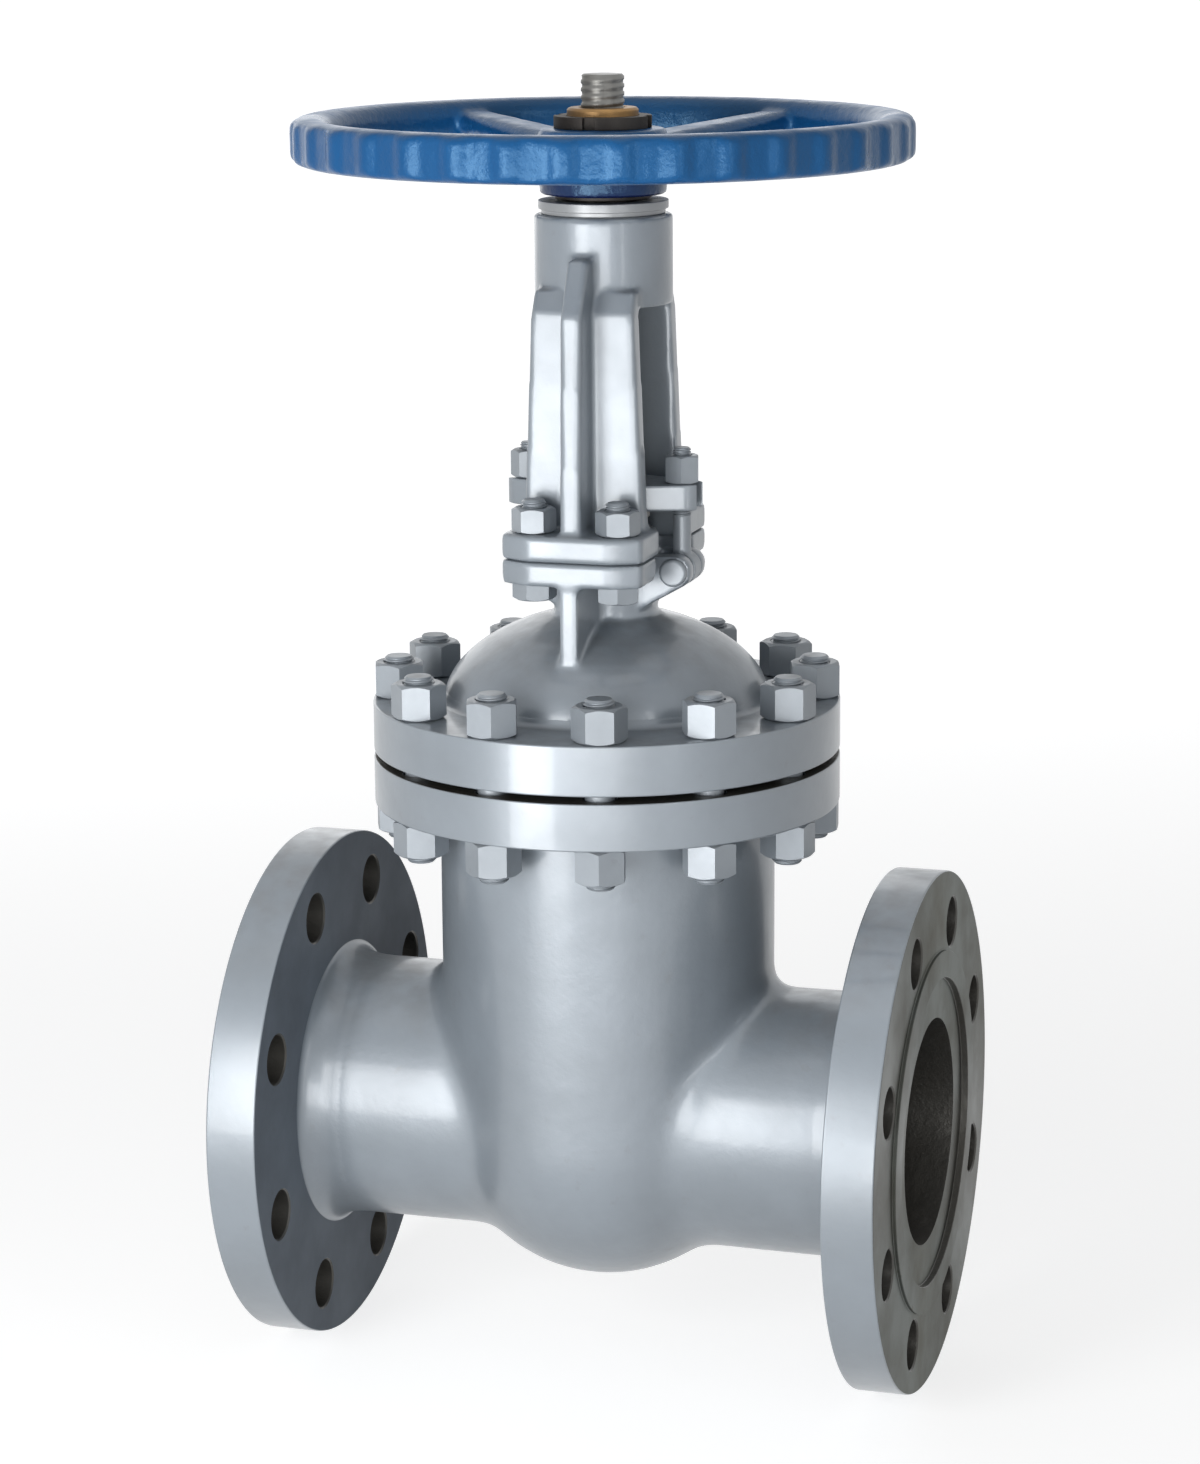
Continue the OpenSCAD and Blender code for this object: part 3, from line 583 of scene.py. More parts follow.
# %% Body: sizes
NECK_R = 88 * MM
HUB_R = 97 * MM
HUB_LENGTH = 24 * MM
FLANGE_R = 172.5 * MM
FLANGE_BACK = 188.5 * MM
FLANGE_FRONT = 222.5 * MM
RAISED_R = 120 * MM
END_FACE = 225 * MM
RECESS_R = 102 * MM
RECESS_DEPTH = 4.5 * MM
BORE_R = 75 * MM
BOLT_CIRCLE_R = 140 * MM
BOLT_HOLE_R = 16.5 * MM
BOLTS = 8
BARREL_R = 111 * MM
CAVITY_R = 97 * MM
BOWL_DROP = 3 * MM
END_RIM_BEVEL = 1.3 * MM
FACE_BEVEL = 0.4 * MM
HOLE_CHAMFER = 1.0 * MM
print("body:", round(2 * END_FACE / MM), "mm from face to face, with a bore of", round(2 * BORE_R / MM), "mm")


# %% Body: outlines and end flanges
def tube_outline(radius, top):
    """A barrel that ends in half a sphere."""
    return arc_points((0, -BOWL_DROP), radius, -90, 0, 28) + [(radius, top), (0, top)]


def drilled(bm, hole_r, low, high, places, chamfer):
    """Drills upright holes through a flange, with a small chamfer at each mouth."""
    drill = spun([(0, low - MM), (hole_r + chamfer + MM, low - MM), (hole_r, low + chamfer),
                  (hole_r, high - chamfer), (hole_r + chamfer + MM, high + MM), (0, high + MM)], 32)
    return boolean("DIFFERENCE", bm, copies(drill, places))


def end_flange():
    root = FLANGE_BACK - HUB_LENGTH
    hub = [(0, root - 8 * MM), (NECK_R - MM, root - 8 * MM)]
    flare = arc_points((HUB_R, root), HUB_R - NECK_R - 0.1 * MM, 180, 90, 10, HUB_LENGTH)
    face = [(FLANGE_R, FLANGE_BACK), (FLANGE_R, FLANGE_FRONT), (RAISED_R, FLANGE_FRONT), (RAISED_R, END_FACE),
            (RECESS_R, END_FACE), (RECESS_R, END_FACE - RECESS_DEPTH), (0, END_FACE - RECESS_DEPTH)]
    bm = spun(hub + flare + face, 128)
    break_edges(bm, END_RIM_BEVEL, 3, beyond=FLANGE_R - MM)
    break_edges(bm, FACE_BEVEL, 1, beyond=RECESS_R - MM, within=RAISED_R + MM)
    holes = round_places(BOLTS, BOLT_CIRCLE_R)
    bm = drilled(bm, BOLT_HOLE_R, FLANGE_BACK, FLANGE_FRONT, holes, HOLE_CHAMFER)
    return lie_along_pipe(bm)


# %% Body: top flange
BODY_FLANGE_LOW = 214 * MM
BODY_FLANGE_HIGH = 245 * MM
JOINT_R = 153.9 * MM
JOINT_FILLET = 6 * MM
JOINT_RIM_BEVEL = 1.2 * MM
STUDS = 12
STUD_CIRCLE_R = 137 * MM
STUD_HOLE_R = 11 * MM
STUD_CHAMFER = 0.5 * MM
print("top joint:", STUDS, "studs on a circle of", round(2 * STUD_CIRCLE_R / MM), "mm")


def finish_joint_flange(bm, low, high):
    """Breaks the rim's edges and drills the holes of the studs."""
    break_edges(bm, JOINT_RIM_BEVEL, 3, beyond=JOINT_R - MM)
    holes = round_places(STUDS, STUD_CIRCLE_R)
    return drilled(bm, STUD_HOLE_R, low, high, holes, STUD_CHAMFER)


def body_top_flange():
    wall = BARREL_R + 0.1 * MM
    foot = [(0, 200 * MM), (BARREL_R - MM, 200 * MM), (wall, 206 * MM)]
    fillet = arc_points((wall + JOINT_FILLET, BODY_FLANGE_LOW - JOINT_FILLET), JOINT_FILLET, 180, 90)
    bm = spun(foot + fillet + [(JOINT_R, BODY_FLANGE_LOW), (JOINT_R, BODY_FLANGE_HIGH),
                               (0, BODY_FLANGE_HIGH)], 144)
    return finish_joint_flange(bm, BODY_FLANGE_LOW, BODY_FLANGE_HIGH)


# %% Body: outside skin
BODY_VOXEL = 2.8 * MM
# reach in mm from the meeting line of neck and barrel, and rounds of smoothing within it
CREASE_ROUNDS = ((30, 14), (20, 16), (12, 12), (6, 6))


def from_barrel(point):
    """How far a point is from the barrel's axis, or from the middle of its round bottom."""
    return Vector((point.x, point.y, min(point.z + BOWL_DROP, 0))).length


def crease_distance(point):
    """How far a point of the skin lies from the line where a neck runs into the barrel."""
    from_neck = abs(Vector((point.y, point.z)).length - NECK_R)
    return max(abs(from_barrel(point) - BARREL_R), from_neck)


def body_skin():
    neck = lie_along_pipe(rod(NECK_R, 0, FLANGE_BACK + 6 * MM))
    barrel = spun(tube_outline(BARREL_R, BODY_FLANGE_LOW + 6 * MM), 96)
    skin = skinned(joined(barrel, neck, mirrored(neck)), BODY_VOXEL)
    for reach, rounds in CREASE_ROUNDS:
        relax(skin, rounds, lambda point: crease_distance(point) < reach * MM)
    relax(skin, 2)
    return skin


# %% Body: wedge chamber, seats and bore
SEAT_R = 87 * MM
SEAT_BOSS_R = 94 * MM
SEAT_FACE = 30.185 * MM
SEAT_DEPTH = 12 * MM
SEAT_PROUD = 5 * MM
WEDGE_ANGLE = 5
GUIDE_WIDTH = 14 * MM
GUIDE_HEIGHT = 8 * MM


def seat_space():
    """What is cut for the seats: a boss left standing in the chamber, and the pocket in its face."""
    boss = lie_along_pipe(rod(SEAT_BOSS_R, 0, BARREL_R, 72))
    face = SEAT_FACE + SEAT_DEPTH - SEAT_PROUD
    normal = Matrix.Rotation(math.radians(WEDGE_ANGLE), 3, "Y") @ Vector((1, 0, 0))
    cut_off(boss, normal * face, -normal)
    close(boss)
    pocket = lie_along_pipe(rod(SEAT_R, SEAT_FACE, SEAT_FACE + SEAT_DEPTH, 72))
    turn(pocket, WEDGE_ANGLE, "Y")
    return boss, pocket


def body_inside():
    """All that is hollow in the body, as one solid."""
    room = spun(tube_outline(CAVITY_R, BODY_FLANGE_HIGH + 2 * MM), 96)
    boss, pocket = seat_space()
    other_boss, other_pocket = (mirrored(bm) for bm in (boss, pocket))
    guide = block((-GUIDE_WIDTH / 2, CAVITY_R - GUIDE_HEIGHT, 0),
                  (GUIDE_WIDTH / 2, BARREL_R, BODY_FLANGE_LOW))
    room = boolean("DIFFERENCE", room, boss, other_boss, guide, mirrored(guide, (1, -1, 1)))
    bore = lie_along_pipe(rod(BORE_R, -END_FACE - MM, END_FACE + MM))
    return boolean("UNION", room, bore, pocket, other_pocket)


# %% Body: finishes
CAST, TURNED, INSIDE, BARE, SHADED_BACK = range(5)
HAIR = 0.1 * MM


def body_finish(point):
    """The finish of a face of the body, by its middle point, measured from the stem."""
    along, from_pipe = abs(point.x), math.hypot(point.y, point.z)
    # The wall of the recess takes the dark inside finish as painted shade.
    painted_recess_shade = along > FLANGE_BACK and abs(from_pipe - RECESS_R) < 0.5 * MM
    if point.z > BODY_FLANGE_HIGH - HAIR or painted_recess_shade:
        return INSIDE
    on_raised_face = along > FLANGE_FRONT - RECESS_DEPTH and BORE_R + MM < from_pipe < RAISED_R + MM
    if along > FLANGE_FRONT - HAIR or on_raised_face:
        return BARE
    in_hole = along > FLANGE_BACK + HAIR and from_pipe < FLANGE_R - 3 * MM
    in_chamber = from_barrel(point) < CAVITY_R + MM and point.z < BODY_FLANGE_HIGH - MM
    if in_hole or in_chamber or from_pipe < BORE_R + MM:
        return INSIDE
    # The backs of the end flanges take a duller paint, darker than the silver as painted shade.
    if abs(along - FLANGE_BACK) < HAIR:
        return SHADED_BACK
    on_top_flange = point.z > BODY_FLANGE_LOW - MM and point.xy.length > BARREL_R + JOINT_FILLET + MM
    return TURNED if along > FLANGE_BACK or on_top_flange else CAST


def build_body():
    end = end_flange()
    bm = boolean("UNION", body_skin(), body_top_flange(), end, mirrored(end))
    return finished(boolean("DIFFERENCE", bm, body_inside()), body_finish)


# %% [markdown]
# ## Bonnet
#
# The bonnet closes the body and carries the stuffing box, the eyebolt ears and the yoke's pads. Its
# upper part comes from the solid itself: a sewn copy, cut off at the flange, filled and melted into one
# skin, so the ribs and ears run softly into the dome as they do in a casting. The flange is turned, so it
# is spun crisp. The hollow inside is cut last, to the sizes that the bush and the packing need.

# %% Bonnet
BONNET_LOW = 249.5 * MM
BONNET_HIGH = 282 * MM
DOME_R = 107 * MM
DOME_HEIGHT = 60 * MM
DOME_WALL = 14 * MM
DOME_ROUND = 1.85
CAST_VOXEL = 1.8 * MM
BOX_R = 34 * MM
BOX_TOP = 394 * MM
BUSH_R = 22 * MM
BUSH_TOP = 337 * MM
PACKING_LOW = 351 * MM
PACKING_R = 24 * MM
STEM_R = 14 * MM
print("bonnet: dome", round(DOME_HEIGHT / MM), "mm high, stuffing box up to", round(BOX_TOP / MM), "mm")


def dome_points(radius, height, count=16):
    """Half of a dome's outline, from its foot to its crown, round by DOME_ROUND."""
    power = 2 / DOME_ROUND
    quarter = [math.pi / 2 * i / count for i in range(count + 1)]
    return [(radius * max(math.cos(a), 0) ** power, BONNET_HIGH + height * math.sin(a) ** power)
            for a in quarter]


def bonnet_upper():
    """The solid over the flange, its hollows filled, as one soft skin."""
    bm = merged_copy("bonnet")
    move(bm, -STEM_X)
    cut_off(bm, (0, 0, BONNET_HIGH + 0.5 * MM), (0, 0, -1))
    close(bm)
    low, under = BONNET_HIGH + 2 * MM, 6 * MM
    plug = spun([(0, low)] + dome_points(DOME_R - under, DOME_HEIGHT - under)[1:-1]
                + [(0, BONNET_HIGH + DOME_HEIGHT - under)], 64)
    core = rod(BOX_R - 4 * MM, low, BOX_TOP - 2 * MM, 48)
    skin = skinned(joined(bm, plug, core), CAST_VOXEL)
    relax(skin, 4)
    return skin


def bonnet_flange():
    fillet = arc_points((DOME_R + 5.5 * MM, BONNET_HIGH + JOINT_FILLET), JOINT_FILLET, 270, 190)
    top = BONNET_HIGH + 8 * MM
    bm = spun([(0, BONNET_LOW), (JOINT_R, BONNET_LOW), (JOINT_R, BONNET_HIGH)] + fillet
              + [(DOME_R - 3 * MM, top), (0, top)], 144)
    return finish_joint_flange(bm, BONNET_LOW, BONNET_HIGH)


def bonnet_inside():
    across, height = DOME_R - DOME_WALL, DOME_HEIGHT - DOME_WALL
    hollow = [p for p in dome_points(across, height, 24) if p[0] > BUSH_R + MM]
    stem_hole = STEM_R + MM
    return spun([(0, BONNET_LOW - MM), (across, BONNET_LOW - MM)] + hollow
                + [(BUSH_R, hollow[-1][1]), (BUSH_R, BUSH_TOP), (stem_hole, BUSH_TOP),
                   (stem_hole, PACKING_LOW), (PACKING_R, PACKING_LOW), (PACKING_R, BOX_TOP + MM),
                   (0, BOX_TOP + MM)], 72)


def bonnet_finish(point):
    if point.z < BONNET_LOW + HAIR:
        return INSIDE
    return TURNED if point.z < BONNET_HIGH + HAIR and point.xy.length > DOME_R + 5 * MM else CAST


def build_bonnet():
    bm = boolean("UNION", bonnet_upper(), bonnet_flange())
    return finished(boolean("DIFFERENCE", bm, bonnet_inside()), bonnet_finish)


# %% [markdown]
# ## Yoke and handwheel
#
# Both are castings, so both get a soft skin made from their sewn solids. The yoke needs no more than that:
# a fine voxel keeps the shape of its thin arms. The handwheel's hub is filled before the remesh and bored
# again afterwards, so that its hole and keyway stay crisp round the stem nut.

# %% Handwheel
WHEEL_LOW = 611 * MM
HUB_TOP = 653 * MM
NUT_R = 23 * MM
WHEEL_VOXEL = 2.0 * MM


def key_block():
    """The room of the key that locks the wheel to the stem nut."""
    low, high = (corner - Vector((STEM_X, 0, 0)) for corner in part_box("handwheel_key"))
    return block(low, high)


def build_handwheel():
    wheel = merged_copy("handwheel")
    move(wheel, -STEM_X)
    low, high = WHEEL_LOW + 2 * MM, HUB_TOP - 2 * MM
    skin = skinned(joined(wheel, rod(NUT_R + 6 * MM, low, high, 48)), WHEEL_VOXEL)
    relax(skin, 5)
    hole_r = NUT_R + 0.2 * MM
    mouth = hole_r + 3 * MM
    bore = spun([(0, WHEEL_LOW - MM), (mouth, WHEEL_LOW - MM), (hole_r, low), (hole_r, high),
                 (mouth, HUB_TOP + MM), (0, HUB_TOP + MM)], 64)
    return finished(boolean("DIFFERENCE", skin, bore, key_block()))


# %% [markdown]
# ## Studs and nuts of the bonnet joint
#
# Twelve studs clamp the two flanges. Most nuts have a flat about outward, a few degrees off, as the spanner
# left them. No two studs are screwed in to the same height, so each gets a small shift of its own. The
# random numbers start from a fixed seed, so that every run gives the same valve.

# %% Studs and nuts
STUD_R = 10 * MM
STUD_PITCH = 2.5 * MM
STUD_NUT_FLATS = 31 * MM
STUD_NUT_HEIGHT = 23 * MM
STUD_END = 5 * MM
STUD_SHIFT = 1.2 * MM
THREAD_LENGTH = 9 * MM
TOP_NUT_TURNS = (4, -9, 13, -3, 7, -12, 5, -2, 2, 3, 12, 2)
LOW_NUT_TURNS = (-6, 8, -2, 11, -5, 3, 9, 4, 31, 29, 12, 5)
dice = random.Random(7)
stud_shifts = [dice.uniform(-STUD_SHIFT, 0.0) for _ in range(STUDS)]


def stud_bar():
    low = BODY_FLANGE_LOW - STUD_NUT_HEIGHT - STUD_END + STUD_SHIFT
    high = BONNET_HIGH + STUD_NUT_HEIGHT + STUD_END
    top = stud_end(STUD_R, STUD_PITCH, high - THREAD_LENGTH - 0.5 * MM, high)
    foot = top.copy()
    turn(foot, 180, "X", (low + high) / 2)
    return joined(rod(STUD_R - 0.4 * MM, low + THREAD_LENGTH, high - THREAD_LENGTH, 24), top, foot)


def build_studs():
    places = round_places(STUDS, STUD_CIRCLE_R, lift=stud_shifts)
    return to_stem(copies(stud_bar(), places))


def build_stud_nuts(low, twist):
    places = round_places(STUDS, STUD_CIRCLE_R, height=low, twist=twist)
    return to_stem(copies(hex_nut(STUD_NUT_FLATS, STUD_NUT_HEIGHT, STUD_R), places))


# %% [markdown]
# ## Gland and swing eyebolts
#
# The gland flange presses the packing down round the stem. It hangs on two bolts whose lower ends are
# eyes on pins. When the nuts are slackened, the bolts swing out of the slots in the flange's ends and the
# gland lifts off. An eye is a disc with a hole and a shank melted onto it, as a forging has.

# %% Gland
GLAND_LOW = 409 * MM
GLAND_TOP = 426 * MM
GLAND_VOXEL = 0.9 * MM
COLLAR_R = 29 * MM
COLLAR_HEIGHT = 7 * MM
PACKING_TOP = 382 * MM
RUNNING_GAP = 0.3 * MM
EYEBOLT_X = 52 * MM
EYEBOLT_R = 6 * MM
EYEBOLT_PITCH = 1.75 * MM
EYE_HEIGHT = 370 * MM
EYE_R = 11 * MM
EYE_HALF_WIDTH = 7.3 * MM
EYE_NUT_FLATS = 21 * MM
EYE_NUT_HEIGHT = 18 * MM
EYE_NUT_TWIST = 0.25
PIN_R = 5.5 * MM
PIN_HEAD_R = 9 * MM
EAR_OUTSIDE = 19.8 * MM


def build_follower():
    """The sleeve that the flange pushes on. Its collar stops it from sinking too deep."""
    collar_low = GLAND_LOW - COLLAR_HEIGHT
    inner, outer = STEM_R + RUNNING_GAP, PACKING_R - 0.4 * MM
    bm = spun([(inner, PACKING_TOP), (outer, PACKING_TOP), (outer, collar_low), (COLLAR_R, collar_low),
               (COLLAR_R, GLAND_LOW), (inner, GLAND_LOW)], 64)
    break_edges(bm, 0.5 * MM)
    return to_stem(bm)


def build_eyebolt(side):
    thread_low = GLAND_LOW - 4 * MM
    top = GLAND_TOP + EYE_NUT_HEIGHT + 5 * MM
    eye = rod(EYE_R, -EYE_HALF_WIDTH, EYE_HALF_WIDTH, 48)
    turn(eye, 90, "X")
    move(eye, z=EYE_HEIGHT)
    forging = skinned(joined(eye, rod(EYEBOLT_R, EYE_HEIGHT, thread_low, 32)), 0.8 * MM)
    relax(forging, 3)
    bm = joined(forging, stud_end(EYEBOLT_R, EYEBOLT_PITCH, thread_low - 0.5 * MM, top))
    move(bm, side * EYEBOLT_X)
    return to_stem(bm)


def build_eye_nut(side, twist):
    place = Matrix.Translation((side * EYEBOLT_X, 0, GLAND_TOP)) @ Matrix.Rotation(twist, 4, "Z")
    return to_stem(copies(hex_nut(EYE_NUT_FLATS, EYE_NUT_HEIGHT, EYEBOLT_R), [place]))


def build_pin(side):
    """A pin with a rounded head on each end, as if riveted over."""
    corner = 2 * MM
    head = arc_points((PIN_HEAD_R - corner, EAR_OUTSIDE + 3 * MM), corner, 0, 90, 4)
    half = [(PIN_R, 0), (PIN_R, EAR_OUTSIDE), (PIN_HEAD_R, EAR_OUTSIDE)] + head + [(0, EAR_OUTSIDE + 5 * MM)]
    other = [(across, -along) for across, along in reversed(half[1:])]
    bm = spun(other + half[1:], 32)
    turn(bm, 90, "X")
    move(bm, side * EYEBOLT_X, z=EYE_HEIGHT)
    return to_stem(bm)


# %% [markdown]
# ## Bolts in the yoke's feet
#
# Four bolts hold the yoke down. Their heads are under the pads, and their nuts are on the feet.

# %% Yoke bolts
PAD_LOW = 368.5 * MM
FOOT_TOP = 401 * MM
YOKE_BOLT_X = 28 * MM
YOKE_BOLT_Y = 65 * MM
YOKE_BOLT_R = 8 * MM
YOKE_BOLT_PITCH = 2 * MM
YOKE_BOLT_TWIST = 0.4
YOKE_NUT_FLATS = 25 * MM
YOKE_NUT_HEIGHT = 16 * MM
YOKE_HEAD_HEIGHT = 11 * MM


def foot_places(side, height=0.0):
    """The places of a foot's two bolts, each turned a little at random."""
    return [Matrix.Translation((x, side * YOKE_BOLT_Y, height))
            @ Matrix.Rotation(dice.uniform(-YOKE_BOLT_TWIST, YOKE_BOLT_TWIST), 4, "Z")
            for x in (-YOKE_BOLT_X, YOKE_BOLT_X)]


def build_yoke_bolts(side):
    top = FOOT_TOP + YOKE_NUT_HEIGHT + 5 * MM
    head = hexagon(YOKE_NUT_FLATS, PAD_LOW - YOKE_HEAD_HEIGHT, PAD_LOW, cone_on_top=False)
    shank = rod(YOKE_BOLT_R - 0.3 * MM, PAD_LOW - MM, top - THREAD_LENGTH, 24)
    end = stud_end(YOKE_BOLT_R, YOKE_BOLT_PITCH, top - THREAD_LENGTH - 0.5 * MM, top)
    bolt = joined(head, shank, end)
    return to_stem(copies(bolt, foot_places(side)))


def build_yoke_nuts(side):
    nut = hex_nut(YOKE_NUT_FLATS, YOKE_NUT_HEIGHT, YOKE_BOLT_R)
    return to_stem(copies(nut, foot_places(side, FOOT_TOP)))


# %% [markdown]
# ## Stem, stem nut and cap
#
# The brass stem nut turns with the wheel and draws the threaded stem up or down. The lock nut with its
# four slots keeps the wheel down on the nut, and the cap keeps the bearings clean.

# %% Stem
STEM_TOP = 687 * MM
STEM_THREAD_LOW = 432 * MM
STEM_PITCH = 5 * MM


def build_stem():
    """The solid's lower part with its tee and collar, and a turned and threaded upper part on it."""
    bm = merged_copy("stem")
    move(bm, -STEM_X)
    cut_off(bm, (0, 0, STEM_THREAD_LOW), (0, 0, 1))
    close(bm)
    screw = threaded(STEM_R - 0.05 * MM, STEM_PITCH, STEM_THREAD_LOW - MM, STEM_TOP + MM,
                     steps=40, crest=0.36, depth=0.15)
    foot, around = STEM_THREAD_LOW - 2 * MM, STEM_R + MM
    keep = spun([(0, foot), (around, foot), (around, STEM_TOP - 2.5 * MM), (STEM_R - 1.5 * MM, STEM_TOP),
                 (0, STEM_TOP)], 40)
    return to_stem(joined(bm, boolean("INTERSECT", screw, keep)))


# %% Stem nut
low_bearing, high_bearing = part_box("bearing_lower"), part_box("bearing_upper")
NUT_LOW = low_bearing[0].z + RUNNING_GAP
NUT_FLANGE_LOW = low_bearing[1].z + RUNNING_GAP
NUT_FLANGE_HIGH = high_bearing[0].z - RUNNING_GAP
NUT_TOP = 666 * MM
NUT_FLANGE_R = 33 * MM
NUT_SHOULDER = 2.5 * MM
NUT_SHOULDER_R = 31 * MM
print("stem nut:", round((NUT_TOP - NUT_LOW) / MM), "mm long")


def build_stem_nut():
    bore = STEM_R + RUNNING_GAP
    chamfer = 1.5 * MM
    shoulder_low = WHEEL_LOW - NUT_SHOULDER
    bm = spun([(bore, NUT_LOW), (NUT_R, NUT_LOW), (NUT_R, NUT_FLANGE_LOW), (NUT_FLANGE_R, NUT_FLANGE_LOW),
               (NUT_FLANGE_R, NUT_FLANGE_HIGH), (NUT_R, NUT_FLANGE_HIGH), (NUT_R, shoulder_low),
               (NUT_SHOULDER_R, shoulder_low), (NUT_SHOULDER_R, WHEEL_LOW), (NUT_R, WHEEL_LOW),
               (NUT_R, NUT_TOP - chamfer), (NUT_R - chamfer, NUT_TOP), (bore + chamfer, NUT_TOP),
               (bore, NUT_TOP - chamfer)], 72)
    break_edges(bm, 0.4 * MM, 1, beyond=bore + 2 * MM)
    # Below the wheel the brass nut takes the dark steel finish as painted shade in the gap under the hub.
    return finished(boolean("DIFFERENCE", bm, key_block()), lambda point: int(point.z < WHEEL_LOW + MM))


# %% Lock nut and cap
LOCK_R = 31.5 * MM
LOCK_TOP = 661 * MM
LOCK_SLOT = (3 * MM, 4 * MM)
HEAD_TOP = 599 * MM
CAP_R = 42 * MM
CAP_FOOT = high_bearing[1].z
CAP_FOOT_R = 34.8 * MM
CAP_LOW = 602 * MM
CAP_TOP = 607.5 * MM


def build_lock_nut():
    inner = NUT_R + 0.2 * MM
    deep, half = LOCK_SLOT
    bm = spun([(inner, HUB_TOP), (LOCK_R, HUB_TOP), (LOCK_R, LOCK_TOP), (inner, LOCK_TOP)], 64)
    for angle in (0, 90, 180, 270):
        slot = block((LOCK_R - deep, -half, HUB_TOP - MM), (LOCK_R + deep, half, LOCK_TOP + MM))
        turn(slot, angle, "Z")
        bm = boolean("DIFFERENCE", bm, slot)
    break_edges(bm, 0.5 * MM)
    return finished(bm)


def build_cap():
    inner, groove = NUT_R + RUNNING_GAP, CAP_R - 2 * MM
    bm = spun([(inner, CAP_FOOT), (CAP_FOOT_R, CAP_FOOT), (CAP_FOOT_R, HEAD_TOP), (groove, HEAD_TOP),
               (groove, CAP_LOW), (CAP_R, CAP_LOW), (CAP_R, CAP_TOP), (inner, CAP_TOP)])
    break_edges(bm, 0.6 * MM)
    return to_stem(bm)


# %% [markdown]
# ## Materials
#
# Paint on a casting shows the sand's grain through it, and runs a little thinner and duller in places.
# Two node groups make that once for all: one gives the height of the grain, and one gives soft patches of
# wear and settled dust. Each material has its own shader and takes from the groups what it needs. Silver
# paint has a clear coat over it, which gives the sharp bands of light on necks and rims.

# %% Shared surface patterns
def group_of(name, inputs, outputs):
    """A node group with number sockets, and its input and output nodes. Inputs start at 1."""
    group = bpy.data.node_groups.new(name, "ShaderNodeTree")
    for label in inputs:
        socket = group.interface.new_socket(name=label, in_out="INPUT", socket_type="NodeSocketFloat")
        socket.default_value = 1.0
    for label in outputs:
        group.interface.new_socket(name=label, in_out="OUTPUT", socket_type="NodeSocketFloat")
    return group, group.nodes.new("NodeGroupInput"), group.nodes.new("NodeGroupOutput")


def noise(tree, scale, detail, roughness=0.5):
    """Noise on the object's own coordinates. scale is how many features lie in a metre."""
    node = tree.nodes.new("ShaderNodeTexNoise")
    fill(node, Scale=scale, Detail=detail, Roughness=roughness, Vector=object_place(tree))
    return node.outputs["Fac"]


def make_grain_group():
    """The height of a sand-cast skin under paint: broad swells, grains, and the paint's own fine peel."""
    group, given, result = group_of("cast_grain", ["Size"], ["Height"])
    height = 0.0
    for size, detail, roughness, share in ((38, 2, 0.5, 1.2), (210, 3, 0.55, 0.55), (620, 2, 0.5, 0.16)):
        grain = noise(group, size, detail, roughness)
        height = combine(group, "ADD", height, combine(group, "MULTIPLY", grain, share))
    fill(result, Height=combine(group, "MULTIPLY", height, given.outputs["Size"]))
    return group


def make_wear_group():
    """Patch is soft and broad, Speck is small and sparse, and Dust gathers on faces that look up.

    Each has an input of its own name, which says how much of it there is.
    """
    labels = ["Patch", "Speck", "Dust"]
    group, given, result = group_of("wear", labels, labels)
    patch = stretch(group, noise(group, 13, 4, 0.6), 0.35, 0.68)
    speck = stretch(group, noise(group, 95, 4, 0.6), 0.63, 0.76)
    facing = group.nodes.new("ShaderNodeNewGeometry")
    split = group.nodes.new("ShaderNodeSeparateXYZ")
    put(split.inputs[0], facing.outputs["Normal"])
    up = stretch(group, split.outputs["Z"], 0.55, 0.98)
    dust = combine(group, "MULTIPLY", up, stretch(group, noise(group, 60, 4), 0.38, 0.66))
    for label, value in zip(labels, (patch, speck, dust)):
        put(result.inputs[label], combine(group, "MULTIPLY", value, given.outputs[label]))
    return group


GRAIN = 0.2 * MM
SCRATCH = 0.03 * MM
SPECK, DUST = 0.25, 0.45
DUST_ROUGHNESS = 0.12 / DUST
cast_grain = make_grain_group()
wear = make_wear_group()


# %% Paint
def use_group(tree, group, **values):
    """The group in a material, with the material's own values for its inputs."""
    node = tree.nodes.new("ShaderNodeGroup")
    node.node_tree = group
    fill(node, **values)
    return node.outputs


def mixed(tree, mask, first, second):
    """One colour passing into another by a mask. Either may be a plain colour."""
    node = tree.nodes.new("ShaderNodeMix")
    node.data_type = "RGBA"
    fill(node, Factor=mask)
    for index, colour in ((6, first), (7, second)):
        put(node.inputs[index], (*colour, 1) if isinstance(colour, tuple) else colour)
    return node.outputs[2]


def raised(tree, height, distance):
    """The normals of a skin with bumps, from their height and how far a height of 1 stands out."""
    bump = tree.nodes.new("ShaderNodeBump")
    fill(bump, Distance=distance, Height=height)
    return bump.outputs["Normal"]


def new_material(name, colour, roughness, metallic, gloss):
    material = bpy.data.materials.new(name)
    material.use_nodes = True
    shader = material.node_tree.nodes["Principled BSDF"]
    fill(shader, Base_Color=(*colour, 1), Roughness=roughness, Metallic=metallic, Specular_IOR_Level=gloss)
    return material, material.node_tree, shader


